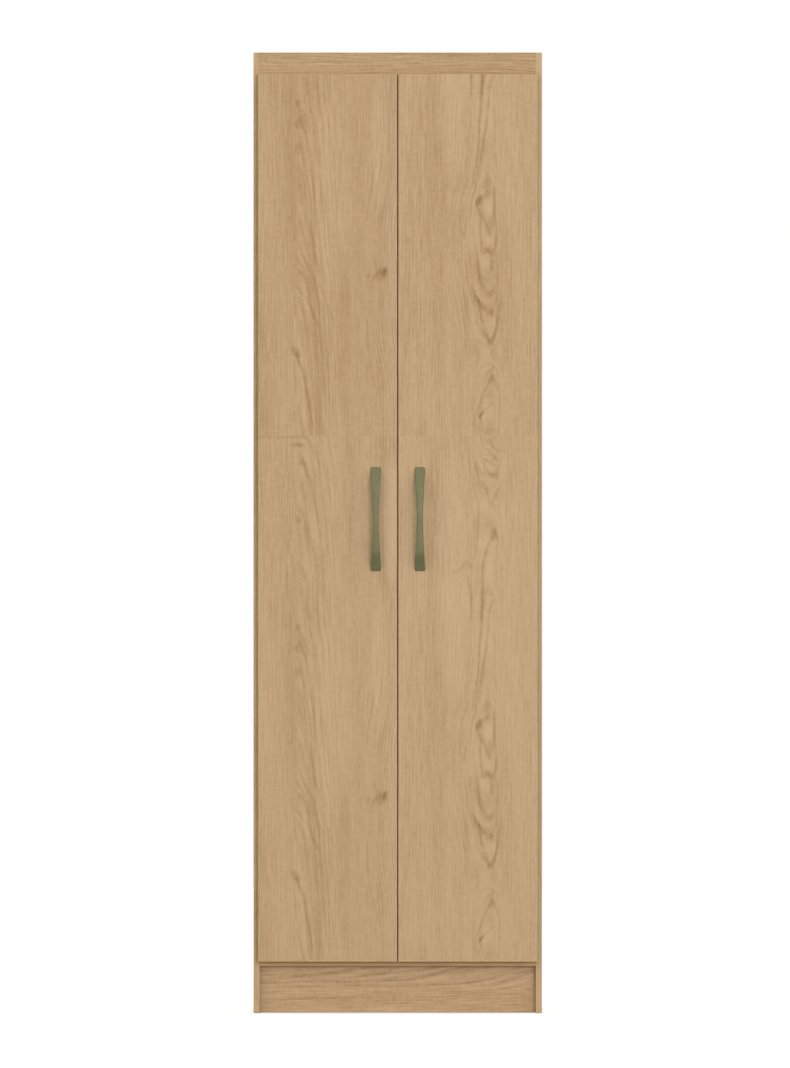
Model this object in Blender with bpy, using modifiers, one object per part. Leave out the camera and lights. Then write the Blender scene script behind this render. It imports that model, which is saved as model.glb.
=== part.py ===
"""Two-door wardrobe: a board carcass on a set-back plinth, overlay doors on concealed hinges.

Metres, +Z up. The doors face -Y and the back stands towards +Y. The origin is on the floor, at the
middle of the whole outline with its handles.
"""

import math

import bmesh
import bpy
from mathutils import Matrix, Vector

# Carcass
WIDTH = 0.543
HEIGHT = 1.808
CARCASS_DEPTH = 0.482
BOARD = 0.012
BOARD_CHAMFER = 0.0003
PLINTH_HEIGHT = 0.089
PLINTH_SETBACK = 0.020
PLINTH_FLOOR_GAP = 0.001
SHELF_DROP = 0.320
SHELF_SETBACK = 0.020
TOUCH = 0.0003
WELD = 0.00001

# Doors
DOOR_BOARD = 0.015
DOOR_EDGE_RADIUS = 0.001
DOOR_STANDOFF = 0.003
SIDE_REVEAL = 0.0085
TOP_REVEAL = 0.0405
MEETING_GAP = 0.0018
DOOR_TOP_LAP = 0.0115
DOOR_BOTTOM_LAP = 0.004
BUMPER_RADIUS = 0.004
BUMPER_DOME = 0.0008

# Back
BACK_SHEET = 0.003
BACK_INSET = 0.010
GROOVE_DEPTH = 0.006
BACK_JOINT_HEIGHT = 0.905
STRIP_WALL = 0.001
STRIP_FLANGE = 0.016

# Hanging rail
RAIL_RADIUS = 0.0125
RAIL_WALL = 0.0012
RAIL_DROP = 0.055
SOCKET_DEPTH = 0.012
SOCKET_FLOOR = 0.003
SOCKET_WALL = 0.0022
SOCKET_BRIM = 0.009

# Cam fittings
CAM_RADIUS = 0.0075
CAM_SKIN = 0.0025
CAM_END_DISTANCE = 0.024
CAM_EDGE_DISTANCE = 0.060
CAM_SLOT_WIDTH = 0.0018
CAM_SLOT_LENGTH = 0.009
CAM_SLOT_DEPTH = 0.002

# Handles
HANDLE_LENGTH = 0.196
HANDLE_PROJECTION = 0.028
HANDLE_SHOULDER = 0.032
HANDLE_SHOULDER_RISE = 0.024
HANDLE_BAR = 0.008
HANDLE_INNER_SHIFT = 0.003
HANDLE_FOOT = 0.028
HANDLE_END_WIDTH = 0.0206
HANDLE_WAIST_WIDTH = 0.0114
HANDLE_FLARE_POWER = 1.5
HANDLE_ROUND = 0.0022
HANDLE_ARCH_STEPS = 6
HANDLE_BEND_STEPS = 4
HANDLE_BEND_ON_ARCH = 0.14
HANDLE_BEND_ON_FOOT = 0.3
HANDLE_EDGE_DISTANCE = 0.0406
HANDLE_CENTRE_HEIGHT = 0.930
HANDLE_HOLE_INSET = 0.010
SCREW_RADIUS = 0.002
SCREW_BITE = 0.007
SCREW_HEAD_RADIUS = 0.004
SCREW_HEAD = 0.0025
SCREW_CLEARANCE = 0.0005

# Concealed hinges
HINGE_END_DISTANCE = 0.095
PIN_INSET = 0.0075
PIN_RADIUS = 0.001
PIN_LENGTH = 0.014
PIN_FIT = 0.00015
EYE_WALL = 0.00105
CUP_RADIUS = 0.0175
CUP_FLOOR = 0.001
CUP_WALL = 0.0004
POCKET_CLEARANCE = 0.00035
POCKET_SIDE_CLEARANCE = 0.001
POCKET_FLOOR_CLEARANCE = 0.0008
FLANGE = 0.0012
FLANGE_LENGTH = 0.060
FLANGE_WIDTH = 0.016
FLANGE_OFFSET = 0.0055
ARM_NOSE_WIDTH = 0.008
ARM_WIDTH = 0.013
ARM_REACH = 0.012
ARM_SHEET = 0.003
ARM_WALL = 0.0016
ARM_NOSE_TOP = 0.0005
ARM_ELBOW = 0.002
ARM_SETBACK = 0.009
ARM_SLOPE = 0.006
ARM_BODY = 0.046
ARM_PLATE_GAP = 0.0007
PLATE = 0.003
PLATE_SPINE = 0.014
PLATE_TIP = 0.012
PLATE_WING = 0.018
PLATE_WING_SPAN = 0.052
PLATE_SETBACK = 0.018
PLATE_LENGTH = 0.038
RIB_END_GAP = 0.003

# Facets on round pieces, and how far cutters run past the faces they open
ROUND_STEPS = 24
OVERCUT = 0.002
SMOOTH_ANGLE = math.radians(35)

# Planes that the pieces share
TOTAL_DEPTH = CARCASS_DEPTH + DOOR_STANDOFF + DOOR_BOARD + TOUCH + HANDLE_PROJECTION
BACK_Y = TOTAL_DEPTH / 2
CARCASS_FRONT_Y = BACK_Y - CARCASS_DEPTH
DOOR_BACK_Y = CARCASS_FRONT_Y - DOOR_STANDOFF
DOOR_FRONT_Y = DOOR_BACK_Y - DOOR_BOARD
SHEET_BACK_Y = BACK_Y - BACK_INSET
SHEET_FRONT_Y = SHEET_BACK_Y - BACK_SHEET
INNER_X = WIDTH / 2 - BOARD
SHELF_X = INNER_X - TOUCH
SHELF_BACK_Y = SHEET_FRONT_Y - TOUCH
SHELF_TOP_Z = HEIGHT - SHELF_DROP
BOTTOM_TOP_Z = PLINTH_HEIGHT + BOARD
DOOR_FOOT_Z = BOTTOM_TOP_Z - DOOR_BOTTOM_LAP
DOOR_HEAD_Z = HEIGHT - TOP_REVEAL
DOOR_OUTER_X = WIDTH / 2 - SIDE_REVEAL
DOOR_INNER_X = MEETING_GAP / 2
PIN_X = DOOR_OUTER_X - PIN_INSET
PIN_Y = DOOR_BACK_Y - DOOR_BOARD / 2

# Sizes that follow from the pieces that fit together
CAM_DEPTH = BOARD - CAM_SKIN
EYE_RADIUS = PIN_RADIUS + PIN_FIT + EYE_WALL
CUP_DEPTH = DOOR_BOARD / 2 + EYE_RADIUS + POCKET_FLOOR_CLEARANCE + CUP_FLOOR
POCKET_HALF_WIDTH = ARM_NOSE_WIDTH / 2 + POCKET_SIDE_CLEARANCE
POCKET_START = EYE_RADIUS + POCKET_CLEARANCE
CUP_OFFSET = math.sqrt((CUP_RADIUS - TOUCH - CUP_WALL) ** 2 - POCKET_HALF_WIDTH**2) - POCKET_START
HANDLE_HOLE_RISE = HANDLE_LENGTH / 2 - HANDLE_FOOT + HANDLE_HOLE_INSET

SIDES = {"left": -1, "right": 1}

# Rotations that lay a shape built along +Z, or drawn flat in XY, along another axis
ALONG = {
    "X": Matrix(((0, 0, 1, 0), (1, 0, 0, 0), (0, 1, 0, 0), (0, 0, 0, 1))),
    "Y": Matrix(((0, 1, 0, 0), (0, 0, 1, 0), (1, 0, 0, 0), (0, 0, 0, 1))),
    "Z": Matrix.Identity(4),
}


def clear_scene():
    """Removes the objects that the file starts with."""
    for obj in list(bpy.data.objects):
        bpy.data.objects.remove(obj)


def new_collection(name):
    """A collection of that name, linked to the scene."""
    collection = bpy.data.collections.new(name)
    bpy.context.scene.collection.children.link(collection)
    return collection


def linear(value):
    """One sRGB channel, 0 to 255, as scene-linear light."""
    share = value / 255
    return share / 12.92 if share <= 0.04045 else ((share + 0.055) / 1.055) ** 2.4


def make_material(name, colour, roughness, metallic=0.0):
    """A Principled material with an sRGB colour."""
    material = bpy.data.materials.new(name)
    material.use_nodes = True
    shader = material.node_tree.nodes["Principled BSDF"]
    shader.inputs["Base Color"].default_value = (*[linear(channel) for channel in colour], 1.0)
    shader.inputs["Roughness"].default_value = roughness
    shader.inputs["Metallic"].default_value = metallic
    return material


def add_piece(name, mesh, centre, material, parent=None):
    """One named piece at a world position, under its axis empty where it moves."""
    obj = bpy.data.objects.new(name, mesh)
    PARTS.objects.link(obj)
    obj.parent = parent
    obj.location = Vector(centre) - (parent.location if parent else Vector())
    if not mesh.materials:
        mesh.materials.append(material)
    return obj


def add_cutter(name, mesh, centre, parent=None):
    """A hidden wire shape that cuts another piece."""
    obj = bpy.data.objects.new(name, mesh)
    CUTTERS.objects.link(obj)
    obj.parent = parent
    obj.location = Vector(centre) - (parent.location if parent else Vector())
    obj.hide_render = True
    obj.display_type = "WIRE"
    return obj


def cut(target, cutter, operation="DIFFERENCE"):
    """A Boolean on the target, left live."""
    boolean = target.modifiers.new(cutter.name, "BOOLEAN")
    boolean.operation = operation
    boolean.solver = "EXACT"
    boolean.object = cutter


def block_mesh(name, low, high):
    """A box between two corners."""
    size = Vector(high) - Vector(low)
    middle = (Vector(high) + Vector(low)) / 2
    bm = bmesh.new()
    placed = Matrix.Translation(middle) @ Matrix.Diagonal((*size, 1.0))
    bmesh.ops.create_cube(bm, size=1.0, matrix=placed)
    mesh = bpy.data.meshes.new(name)
    bm.to_mesh(mesh)
    bm.free()
    return mesh


def rod_mesh(name, radius, length, axis):
    """A capped cylinder centred on the origin."""
    bm = bmesh.new()
    bmesh.ops.create_cone(
        bm, cap_ends=True, segments=ROUND_STEPS, radius1=radius, radius2=radius, depth=length
    )
    mesh = bpy.data.meshes.new(name)
    bm.to_mesh(mesh)
    bm.free()
    mesh.transform(ALONG[axis])
    mesh.shade_smooth()
    mesh.set_sharp_from_angle(angle=SMOOTH_ANGLE)
    return mesh


def evaluated_mesh(name, obj):
    """The finished mesh of an object and its modifiers; the object itself is removed."""
    bpy.context.view_layer.update()
    graph = bpy.context.evaluated_depsgraph_get()
    mesh = bpy.data.meshes.new_from_object(obj.evaluated_get(graph))
    mesh.name = name
    bpy.data.objects.remove(obj)
    return mesh


def outline_mesh(name, points, thickness, axis):
    """A flat outline, drawn in XY and given a thickness, then laid along an axis."""
    curve = bpy.data.curves.new(name, "CURVE")
    curve.dimensions = "2D"
    curve.fill_mode = "BOTH"
    curve.extrude = thickness / 2
    spline = curve.splines.new("POLY")
    spline.points.add(len(points) - 1)
    for point, (x, y) in zip(spline.points, points):
        point.co = (x, y, 0.0, 1.0)
    spline.use_cyclic_u = True
    obj = bpy.data.objects.new(name, curve)
    CUTTERS.objects.link(obj)
    mesh = evaluated_mesh(name, obj)
    bm = bmesh.new()
    bm.from_mesh(mesh)
    bmesh.ops.remove_doubles(bm, verts=bm.verts, dist=WELD)
    bmesh.ops.recalc_face_normals(bm, faces=bm.faces)
    bm.to_mesh(mesh)
    bm.free()
    mesh.transform(ALONG[axis])
    return mesh


def arc(centre, radius, start, end, steps=8):
    """Points along an arc, angles in degrees."""
    angles = [math.radians(start + (end - start) * step / steps) for step in range(steps + 1)]
    return [(centre[0] + radius * math.cos(a), centre[1] + radius * math.sin(a)) for a in angles]


def turned_mesh(name, profile, axis):
    """A profile of radius and height points, from its top down its outer side, turned about an axis."""
    bm = bmesh.new()
    points = [bm.verts.new((radius, 0.0, height)) for radius, height in profile]
    for first, second in zip(points, points[1:]):
        bm.edges.new((first, second))
    mesh = bpy.data.meshes.new(name)
    bm.to_mesh(mesh)
    bm.free()
    obj = bpy.data.objects.new(name, mesh)
    CUTTERS.objects.link(obj)
    screw = obj.modifiers.new("turn", "SCREW")
    screw.steps = ROUND_STEPS
    screw.render_steps = ROUND_STEPS
    screw.use_merge_vertices = True
    screw.merge_threshold = WELD
    turned = evaluated_mesh(name, obj)
    turned.transform(ALONG[axis])
    turned.shade_smooth()
    turned.set_sharp_from_angle(angle=SMOOTH_ANGLE)
    return turned


def carved_mesh(name, base, cutters, operation="DIFFERENCE"):
    """A pattern mesh cut by, or joined to, other meshes."""
    obj = bpy.data.objects.new(name, base)
    CUTTERS.objects.link(obj)
    helpers = [add_cutter(name, mesh, (0, 0, 0)) for mesh in cutters]
    for helper in helpers:
        cut(obj, helper, operation)
    mesh = evaluated_mesh(name, obj)
    for helper in helpers:
        bpy.data.objects.remove(helper)
    return mesh


def mirrored_mesh(mesh, side):
    """The left-hand pattern for the left side, or its mirror image for the right."""
    if side < 0:
        return mesh
    twin = mesh.copy()
    twin.transform(Matrix.Diagonal((-1, 1, 1, 1)))
    twin.flip_normals()
    return twin


def add_board(name, low, high, material, edge, segments=1, parent=None):
    """A board between two corners with eased edges."""
    middle = (Vector(low) + Vector(high)) / 2
    mesh = block_mesh(name, Vector(low) - middle, Vector(high) - middle)
    obj = add_piece(name, mesh, middle, material, parent)
    bevel = obj.modifiers.new("eased_edges", "BEVEL")
    bevel.width = edge
    bevel.segments = segments
    return obj


def add_carcass():
    """Side panels with a groove for the back, and the boards held between them."""
    groove_y = (SHEET_FRONT_Y - TOUCH, SHEET_BACK_Y + TOUCH)
    for name, side in SIDES.items():
        xs = sorted((side * INNER_X, side * WIDTH / 2))
        low = (xs[0], CARCASS_FRONT_Y, 0.0)
        high = (xs[1], BACK_Y, HEIGHT)
        panel = add_board("side_panel_" + name, low, high, OAK, BOARD_CHAMFER)
        groove_xs = sorted((side * (INNER_X - OVERCUT), side * (INNER_X + GROOVE_DEPTH)))
        groove = block_mesh(
            "groove_" + name,
            (groove_xs[0], groove_y[0], -OVERCUT),
            (groove_xs[1], groove_y[1], HEIGHT + OVERCUT),
        )
        cut(panel, add_cutter("groove_" + name, groove, (0, 0, 0)))

    rail_back_y = CARCASS_FRONT_Y + BOARD
    plinth_front_y = CARCASS_FRONT_Y + PLINTH_SETBACK
    boards = {
        "top_rail": (
            (CARCASS_FRONT_Y, rail_back_y),
            (DOOR_HEAD_Z - DOOR_TOP_LAP, HEIGHT),
        ),
        "plinth": (
            (plinth_front_y, plinth_front_y + BOARD),
            (PLINTH_FLOOR_GAP, PLINTH_HEIGHT - TOUCH),
        ),
        "top_panel": ((rail_back_y + TOUCH, SHELF_BACK_Y), (HEIGHT - BOARD, HEIGHT)),
        "hat_shelf": (
            (CARCASS_FRONT_Y + SHELF_SETBACK, SHELF_BACK_Y),
            (SHELF_TOP_Z - BOARD, SHELF_TOP_Z),
        ),
        "bottom_panel": ((CARCASS_FRONT_Y, SHELF_BACK_Y), (PLINTH_HEIGHT, BOTTOM_TOP_Z)),
    }
    cam = cam_pattern()
    for name, (ys, zs) in boards.items():
        board = add_board(name, (-SHELF_X, ys[0], zs[0]), (SHELF_X, ys[1], zs[1]), OAK, BOARD_CHAMFER)
        if name not in ("top_rail", "plinth"):
            add_cams(board, name, ys, zs[0], cam)


def cam_pattern():
    """A cam disc standing on its origin's height, with a screwdriver slot in its lower face."""
    disc = rod_mesh("cam", CAM_RADIUS - TOUCH, CAM_DEPTH, "Z")
    disc.transform(Matrix.Translation((0, 0, CAM_DEPTH / 2)))
    slot = block_mesh(
        "cam_slot",
        (-CAM_SLOT_LENGTH / 2, -CAM_SLOT_WIDTH / 2, -OVERCUT),
        (CAM_SLOT_LENGTH / 2, CAM_SLOT_WIDTH / 2, CAM_SLOT_DEPTH),
    )
    return carved_mesh("cam", disc, [slot])


def add_cams(board, board_name, ys, underside, pattern):
    """Four cams let into a board's underside, two near each end."""
    places = {"front": ys[0] + CAM_EDGE_DISTANCE, "rear": ys[1] - CAM_EDGE_DISTANCE}
    pocket_depth = CAM_DEPTH + TOUCH
    for side_name, side in SIDES.items():
        x = side * (SHELF_X - CAM_END_DISTANCE)
        for place, y in places.items():
            name = "_".join(("cam", board_name.split("_")[0], side_name, place))
            pocket = rod_mesh(name + "_pocket", CAM_RADIUS, pocket_depth + OVERCUT, "Z")
            pocket_z = underside + (pocket_depth - OVERCUT) / 2
            cut(board, add_cutter(name + "_pocket", pocket, (x, y, pocket_z)))
            add_piece(name, pattern, (x, y, underside), STEEL)


def add_back():
    """Two thin sheets in the side grooves, joined at mid-height by a plastic strip of H section."""
    sheet_x = INNER_X + GROOVE_DEPTH - TOUCH
    half_web = STRIP_WALL / 2
    edge = half_web + TOUCH
    sheets = {
        "back_panel_lower": (PLINTH_HEIGHT, BACK_JOINT_HEIGHT - edge),
        "back_panel_upper": (BACK_JOINT_HEIGHT + edge, HEIGHT - BOARD_CHAMFER),
    }
    for name, zs in sheets.items():
        low = (-sheet_x, SHEET_FRONT_Y, zs[0])
        high = (sheet_x, SHEET_BACK_Y, zs[1])
        middle = (Vector(low) + Vector(high)) / 2
        mesh = block_mesh(name, Vector(low) - middle, Vector(high) - middle)
        add_piece(name, mesh, middle, HARDBOARD)

    inner = BACK_SHEET / 2 + TOUCH
    outer = inner + STRIP_WALL
    half_flange = STRIP_FLANGE / 2
    quarter = [(outer, half_flange), (inner, half_flange), (inner, half_web)]
    section = quarter + [(-y, z) for y, z in reversed(quarter)]
    section += [(-y, -z) for y, z in quarter] + [(y, -z) for y, z in reversed(quarter)]
    strip = outline_mesh("back_joint_strip", section, 2 * SHELF_X, "X")
    strip_place = (0, (SHEET_FRONT_Y + SHEET_BACK_Y) / 2, BACK_JOINT_HEIGHT)
    add_piece("back_joint_strip", strip, strip_place, PALE_PLASTIC)


def add_hanging_rail():
    """A steel tube held at its ends in two flanged sockets, under the hat shelf."""
    rail_y = (CARCASS_FRONT_Y + SHELF_SETBACK + SHELF_BACK_Y) / 2
    rail_z = SHELF_TOP_Z - BOARD - RAIL_DROP
    bore = RAIL_RADIUS + TOUCH
    ring = bore + SOCKET_WALL
    brim = ring + SOCKET_BRIM
    profile = [
        (0, SOCKET_FLOOR),
        (bore, SOCKET_FLOOR),
        (bore, SOCKET_DEPTH),
        (ring, SOCKET_DEPTH),
        (ring, SOCKET_FLOOR),
        (brim, SOCKET_FLOOR),
        (brim, 0),
        (0, 0),
    ]
    socket = turned_mesh("rail_socket", profile, "X")
    for name, side in SIDES.items():
        place = (side * (INNER_X - TOUCH), rail_y, rail_z)
        add_piece("rail_socket_" + name, mirrored_mesh(socket, side), place, ZINC)

    half_length = INNER_X - SOCKET_FLOOR - 2 * TOUCH
    tube = rod_mesh("hanging_rail", RAIL_RADIUS, 2 * half_length, "X")
    rail = add_piece("hanging_rail", tube, (0, rail_y, rail_z), STEEL)
    hollow = rod_mesh("rail_hollow", RAIL_RADIUS - RAIL_WALL, 2 * (half_length + OVERCUT), "X")
    cut(rail, add_cutter("rail_hollow", hollow, (0, rail_y, rail_z)))


def add_axis(name, side):
    """An empty on a door's hinge axis, which carries everything that swings with the door."""
    empty = bpy.data.objects.new("door_axis_" + name, None)
    PARTS.objects.link(empty)
    empty.location = (side * PIN_X, PIN_Y, DOOR_FOOT_Z)
    return empty


def hinge_heights():
    """Mid-heights of a door's three hinges."""
    return {
        "upper": DOOR_HEAD_Z - HINGE_END_DISTANCE,
        "middle": (DOOR_HEAD_Z + DOOR_FOOT_Z) / 2,
        "lower": DOOR_FOOT_Z + HINGE_END_DISTANCE,
    }


def add_door(name, side, axis):
    """A door board with its hinge bores, screw holes, bumper, handle and handle screws."""
    xs = sorted((side * DOOR_INNER_X, side * DOOR_OUTER_X))
    door = add_board(
        "door_" + name,
        (xs[0], DOOR_FRONT_Y, DOOR_FOOT_Z),
        (xs[1], DOOR_BACK_Y, DOOR_HEAD_Z),
        OAK,
        DOOR_EDGE_RADIUS,
        segments=2,
        parent=axis,
    )
    bore_depth = CUP_DEPTH + TOUCH
    bore_x = side * (PIN_X - CUP_OFFSET)
    bore_y = DOOR_BACK_Y - (bore_depth - OVERCUT) / 2
    for level, z in hinge_heights().items():
        bore = rod_mesh("cup_bore", CUP_RADIUS, bore_depth + OVERCUT, "Y")
        cut(door, add_cutter("_".join(("cup_bore", name, level)), bore, (bore_x, bore_y, z), axis))

    handle_x = side * (DOOR_INNER_X + HANDLE_EDGE_DISTANCE)
    handle_y = DOOR_FRONT_Y - TOUCH
    handle = add_piece(
        "handle_" + name, handle_mesh(), (handle_x, handle_y, HANDLE_CENTRE_HEIGHT), SAGE_PAINT, axis
    )
    round_edges = handle.modifiers.new("rounded_edges", "BEVEL")
    round_edges.limit_method = "WEIGHT"
    round_edges.width = HANDLE_ROUND
    round_edges.segments = 2

    screw = screw_pattern()
    hole_length = DOOR_BOARD + 2 * OVERCUT
    tap_depth = SCREW_BITE + TOUCH
    for level, up in (("upper", 1), ("lower", -1)):
        z = HANDLE_CENTRE_HEIGHT + up * HANDLE_HOLE_RISE
        hole_name = "_".join((name, level))
        hole = rod_mesh("screw_hole", SCREW_RADIUS + SCREW_CLEARANCE, hole_length, "Y")
        hole_place = (handle_x, (DOOR_FRONT_Y + DOOR_BACK_Y) / 2, z)
        cut(door, add_cutter("screw_hole_" + hole_name, hole, hole_place, axis))
        tap = rod_mesh("tapped_hole", SCREW_RADIUS + TOUCH, tap_depth + OVERCUT, "Y")
        tap_place = (handle_x, handle_y - (tap_depth - OVERCUT) / 2, z)
        cut(handle, add_cutter("tapped_hole_" + hole_name, tap, tap_place, axis))
        add_piece("handle_screw_" + hole_name, screw, (handle_x, DOOR_BACK_Y + TOUCH, z), STEEL, axis)

    bumper_height = DOOR_STANDOFF - 2 * TOUCH
    profile = [
        (0, bumper_height),
        (BUMPER_RADIUS - BUMPER_DOME, bumper_height),
        (BUMPER_RADIUS, bumper_height - BUMPER_DOME),
        (BUMPER_RADIUS, 0),
        (0, 0),
    ]
    bumper = turned_mesh("door_bumper", profile, "Y")
    bumper_x = side * (DOOR_INNER_X + HANDLE_EDGE_DISTANCE)
    bumper_place = (bumper_x, DOOR_BACK_Y + TOUCH, DOOR_HEAD_Z - DOOR_TOP_LAP / 2)
    add_piece("door_bumper_" + name, bumper, bumper_place, RUBBER, axis)


def screw_pattern():
    """A pan-head screw with its head on +Y and its shank running towards -Y."""
    shank_end = -(DOOR_BOARD + 2 * TOUCH + SCREW_BITE)
    profile = [
        (0, SCREW_HEAD),
        (SCREW_HEAD_RADIUS, SCREW_HEAD),
        (SCREW_HEAD_RADIUS, 0),
        (SCREW_RADIUS, 0),
        (SCREW_RADIUS, shank_end),
        (0, shank_end),
    ]
    return turned_mesh("handle_screw", profile, "Y")


def handle_width(z):
    """Width of the handle at a height from its middle, flaring from the waist to the ends."""
    share = abs(z) / (HANDLE_LENGTH / 2)
    return HANDLE_WAIST_WIDTH + (HANDLE_END_WIDTH - HANDLE_WAIST_WIDTH) * share**HANDLE_FLARE_POWER


def bend_point(start, corner, end, share):
    """A point on a soft bend that leaves start for a corner and turns off there towards end."""
    before = (1 - share) ** 2
    after = share**2
    middle = 1 - before - after
    return tuple(before * a + middle * b + after * c for a, b, c in zip(start, corner, end))


def handle_stations():
    """Outer and inner points of the handle's side view, as height and rise, from the lower foot up."""
    half = HANDLE_LENGTH / 2
    outer_half = half - HANDLE_SHOULDER
    inner_half = outer_half - HANDLE_INNER_SHIFT
    sag = HANDLE_PROJECTION - HANDLE_SHOULDER_RISE
    upper = []
    for step in range(HANDLE_ARCH_STEPS + 1):
        share = (1 - HANDLE_BEND_ON_ARCH) * step / HANDLE_ARCH_STEPS
        rise = HANDLE_PROJECTION - sag * share**2
        upper.append(((share * outer_half, rise), (share * inner_half, rise - HANDLE_BAR)))
    starts = upper[-1]
    corners = ((outer_half, HANDLE_SHOULDER_RISE), (inner_half, HANDLE_SHOULDER_RISE - HANDLE_BAR))
    feet = ((half, 0.0), (half - HANDLE_FOOT, 0.0))
    ends = [
        tuple(a + (b - a) * HANDLE_BEND_ON_FOOT for a, b in zip(corner, foot))
        for corner, foot in zip(corners, feet)
    ]
    for step in range(1, HANDLE_BEND_STEPS + 1):
        share = step / HANDLE_BEND_STEPS
        upper.append([bend_point(*points, share) for points in zip(starts, corners, ends)])
    upper.append(feet)
    lower = [[(-z, rise) for z, rise in station] for station in reversed(upper[1:])]
    return lower + upper


def handle_mesh():
    """The bow handle as a loft: sloping feet on the door, soft shoulders and a shallow arch between."""
    bm = bmesh.new()
    weights = bm.edges.layers.float.new("bevel_weight_edge")
    rings = []
    for (outer_z, outer_rise), (inner_z, inner_rise) in handle_stations():
        outer_x = handle_width(outer_z) / 2
        inner_x = handle_width(inner_z) / 2
        corners = [
            (-outer_x, -outer_rise, outer_z),
            (outer_x, -outer_rise, outer_z),
            (inner_x, -inner_rise, inner_z),
            (-inner_x, -inner_rise, inner_z),
        ]
        rings.append([bm.verts.new(corner) for corner in corners])
    for lower, upper in zip(rings, rings[1:]):
        for corner in range(4):
            following = (corner + 1) % 4
            bm.faces.new((lower[corner], lower[following], upper[following], upper[corner]))
            bm.edges.get((lower[corner], upper[corner]))[weights] = 1.0
    bm.faces.new(list(reversed(rings[0])))
    bm.faces.new(rings[-1])
    bmesh.ops.recalc_face_normals(bm, faces=bm.faces)
    mesh = bpy.data.meshes.new("handle")
    bm.to_mesh(mesh)
    bm.free()
    mesh.shade_smooth()
    mesh.set_sharp_from_angle(angle=SMOOTH_ANGLE)
    return mesh


def hinge_patterns():
    """The pieces of a left-hand hinge, around the pin: +X runs into the cabinet, +Y to its back."""
    mouth_y = DOOR_BOARD / 2
    panel_x = BOARD - SIDE_REVEAL - PIN_INSET
    front_y = mouth_y + DOOR_STANDOFF
    elbow_x = ARM_REACH + ARM_SHEET
    elbow_swing = math.hypot(elbow_x, EYE_RADIUS)
    pin_hole = PIN_RADIUS + PIN_FIT

    pin = rod_mesh("hinge_pin", PIN_RADIUS, PIN_LENGTH, "Z")

    flange_y = mouth_y + TOUCH + FLANGE / 2
    cup_top = flange_y
    cup_bottom = mouth_y - CUP_DEPTH
    barrel = rod_mesh("hinge_cup", CUP_RADIUS - TOUCH, cup_top - cup_bottom, "Y")
    barrel.transform(Matrix.Translation((CUP_OFFSET, (cup_top + cup_bottom) / 2, 0)))
    end_z = (FLANGE_LENGTH - FLANGE_WIDTH) / 2
    stadium = arc((end_z, 0), FLANGE_WIDTH / 2, -90, 90) + arc((-end_z, 0), FLANGE_WIDTH / 2, 90, 270)
    flange = outline_mesh("hinge_flange", stadium, FLANGE, "Y")
    flange.transform(Matrix.Translation((CUP_OFFSET + FLANGE_OFFSET, flange_y, 0)))
    cup = carved_mesh("hinge_cup", barrel, [flange], "UNION")
    pocket = block_mesh(
        "cup_pocket",
        (-POCKET_START, cup_bottom + CUP_FLOOR, -POCKET_HALF_WIDTH),
        (elbow_swing + POCKET_SIDE_CLEARANCE, flange_y + FLANGE, POCKET_HALF_WIDTH),
    )
    socket = rod_mesh("pin_socket", pin_hole, PIN_LENGTH + 2 * TOUCH, "Z")
    cup = carved_mesh("hinge_cup", cup, [pocket, socket])

    plate_top = panel_x + TOUCH + PLATE
    wall_low = plate_top + ARM_PLATE_GAP
    body_start = front_y + ARM_SETBACK
    body_end = body_start + ARM_BODY
    eye_start = math.degrees(math.asin(ARM_NOSE_TOP / EYE_RADIUS))
    side_view = arc((0, 0), EYE_RADIUS, eye_start, 270, steps=12)
    side_view += arc((elbow_x - ARM_ELBOW, ARM_ELBOW - EYE_RADIUS), ARM_ELBOW, 270, 360, steps=4)
    side_view += [
        (elbow_x, body_end),
        (wall_low, body_end),
        (wall_low, body_start + ARM_SLOPE),
        (ARM_REACH, body_start),
        (ARM_REACH, ARM_NOSE_TOP),
    ]
    arm = outline_mesh("hinge_arm", side_view, ARM_WIDTH, "Z")
    channel_z = ARM_WIDTH / 2 - ARM_WALL
    cuts = [rod_mesh("arm_pin_hole", pin_hole, ARM_WIDTH + 2 * OVERCUT, "Z")]
    for turn in (-1, 1):
        zs = sorted((turn * ARM_NOSE_WIDTH / 2, turn * (ARM_WIDTH / 2 + OVERCUT)))
        low = (-EYE_RADIUS - OVERCUT, -EYE_RADIUS - OVERCUT, zs[0])
        cuts.append(block_mesh("arm_nose_side", low, (elbow_x + OVERCUT, front_y, zs[1])))
    channel_start = body_start + ARM_SLOPE
    cuts.append(
        block_mesh(
            "arm_channel",
            (wall_low - OVERCUT, channel_start, -channel_z),
            (ARM_REACH, body_end + OVERCUT, channel_z),
        )
    )
    arm = carved_mesh("hinge_arm", arm, cuts)

    plate_start = front_y + PLATE_SETBACK
    plate_end = plate_start + PLATE_LENGTH
    wing_y = (plate_start + plate_end) / 2
    spine = PLATE_SPINE / 2
    tip = PLATE_TIP / 2
    wing = PLATE_WING_SPAN / 2
    half_wing = PLATE_WING / 2
    quarter = [(plate_end - wing_y, tip), (half_wing, spine), (half_wing, wing)]
    cross = quarter + [(-y, z) for y, z in reversed(quarter)]
    cross += [(-y, -z) for y, z in quarter] + [(y, -z) for y, z in reversed(quarter)]
    plate = outline_mesh("hinge_plate", cross, PLATE, "X")
    plate.transform(Matrix.Translation((panel_x + TOUCH + PLATE / 2, wing_y, 0)))
    rib_z = channel_z - TOUCH
    rib = block_mesh(
        "plate_rib",
        (panel_x + TOUCH + PLATE / 2, plate_start + RIB_END_GAP, -rib_z),
        (ARM_REACH - TOUCH, plate_end - RIB_END_GAP, rib_z),
    )
    plate = carved_mesh("hinge_plate", plate, [rib], "UNION")
    return {"cup": cup, "pin": pin, "arm": arm, "plate": plate}


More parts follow.
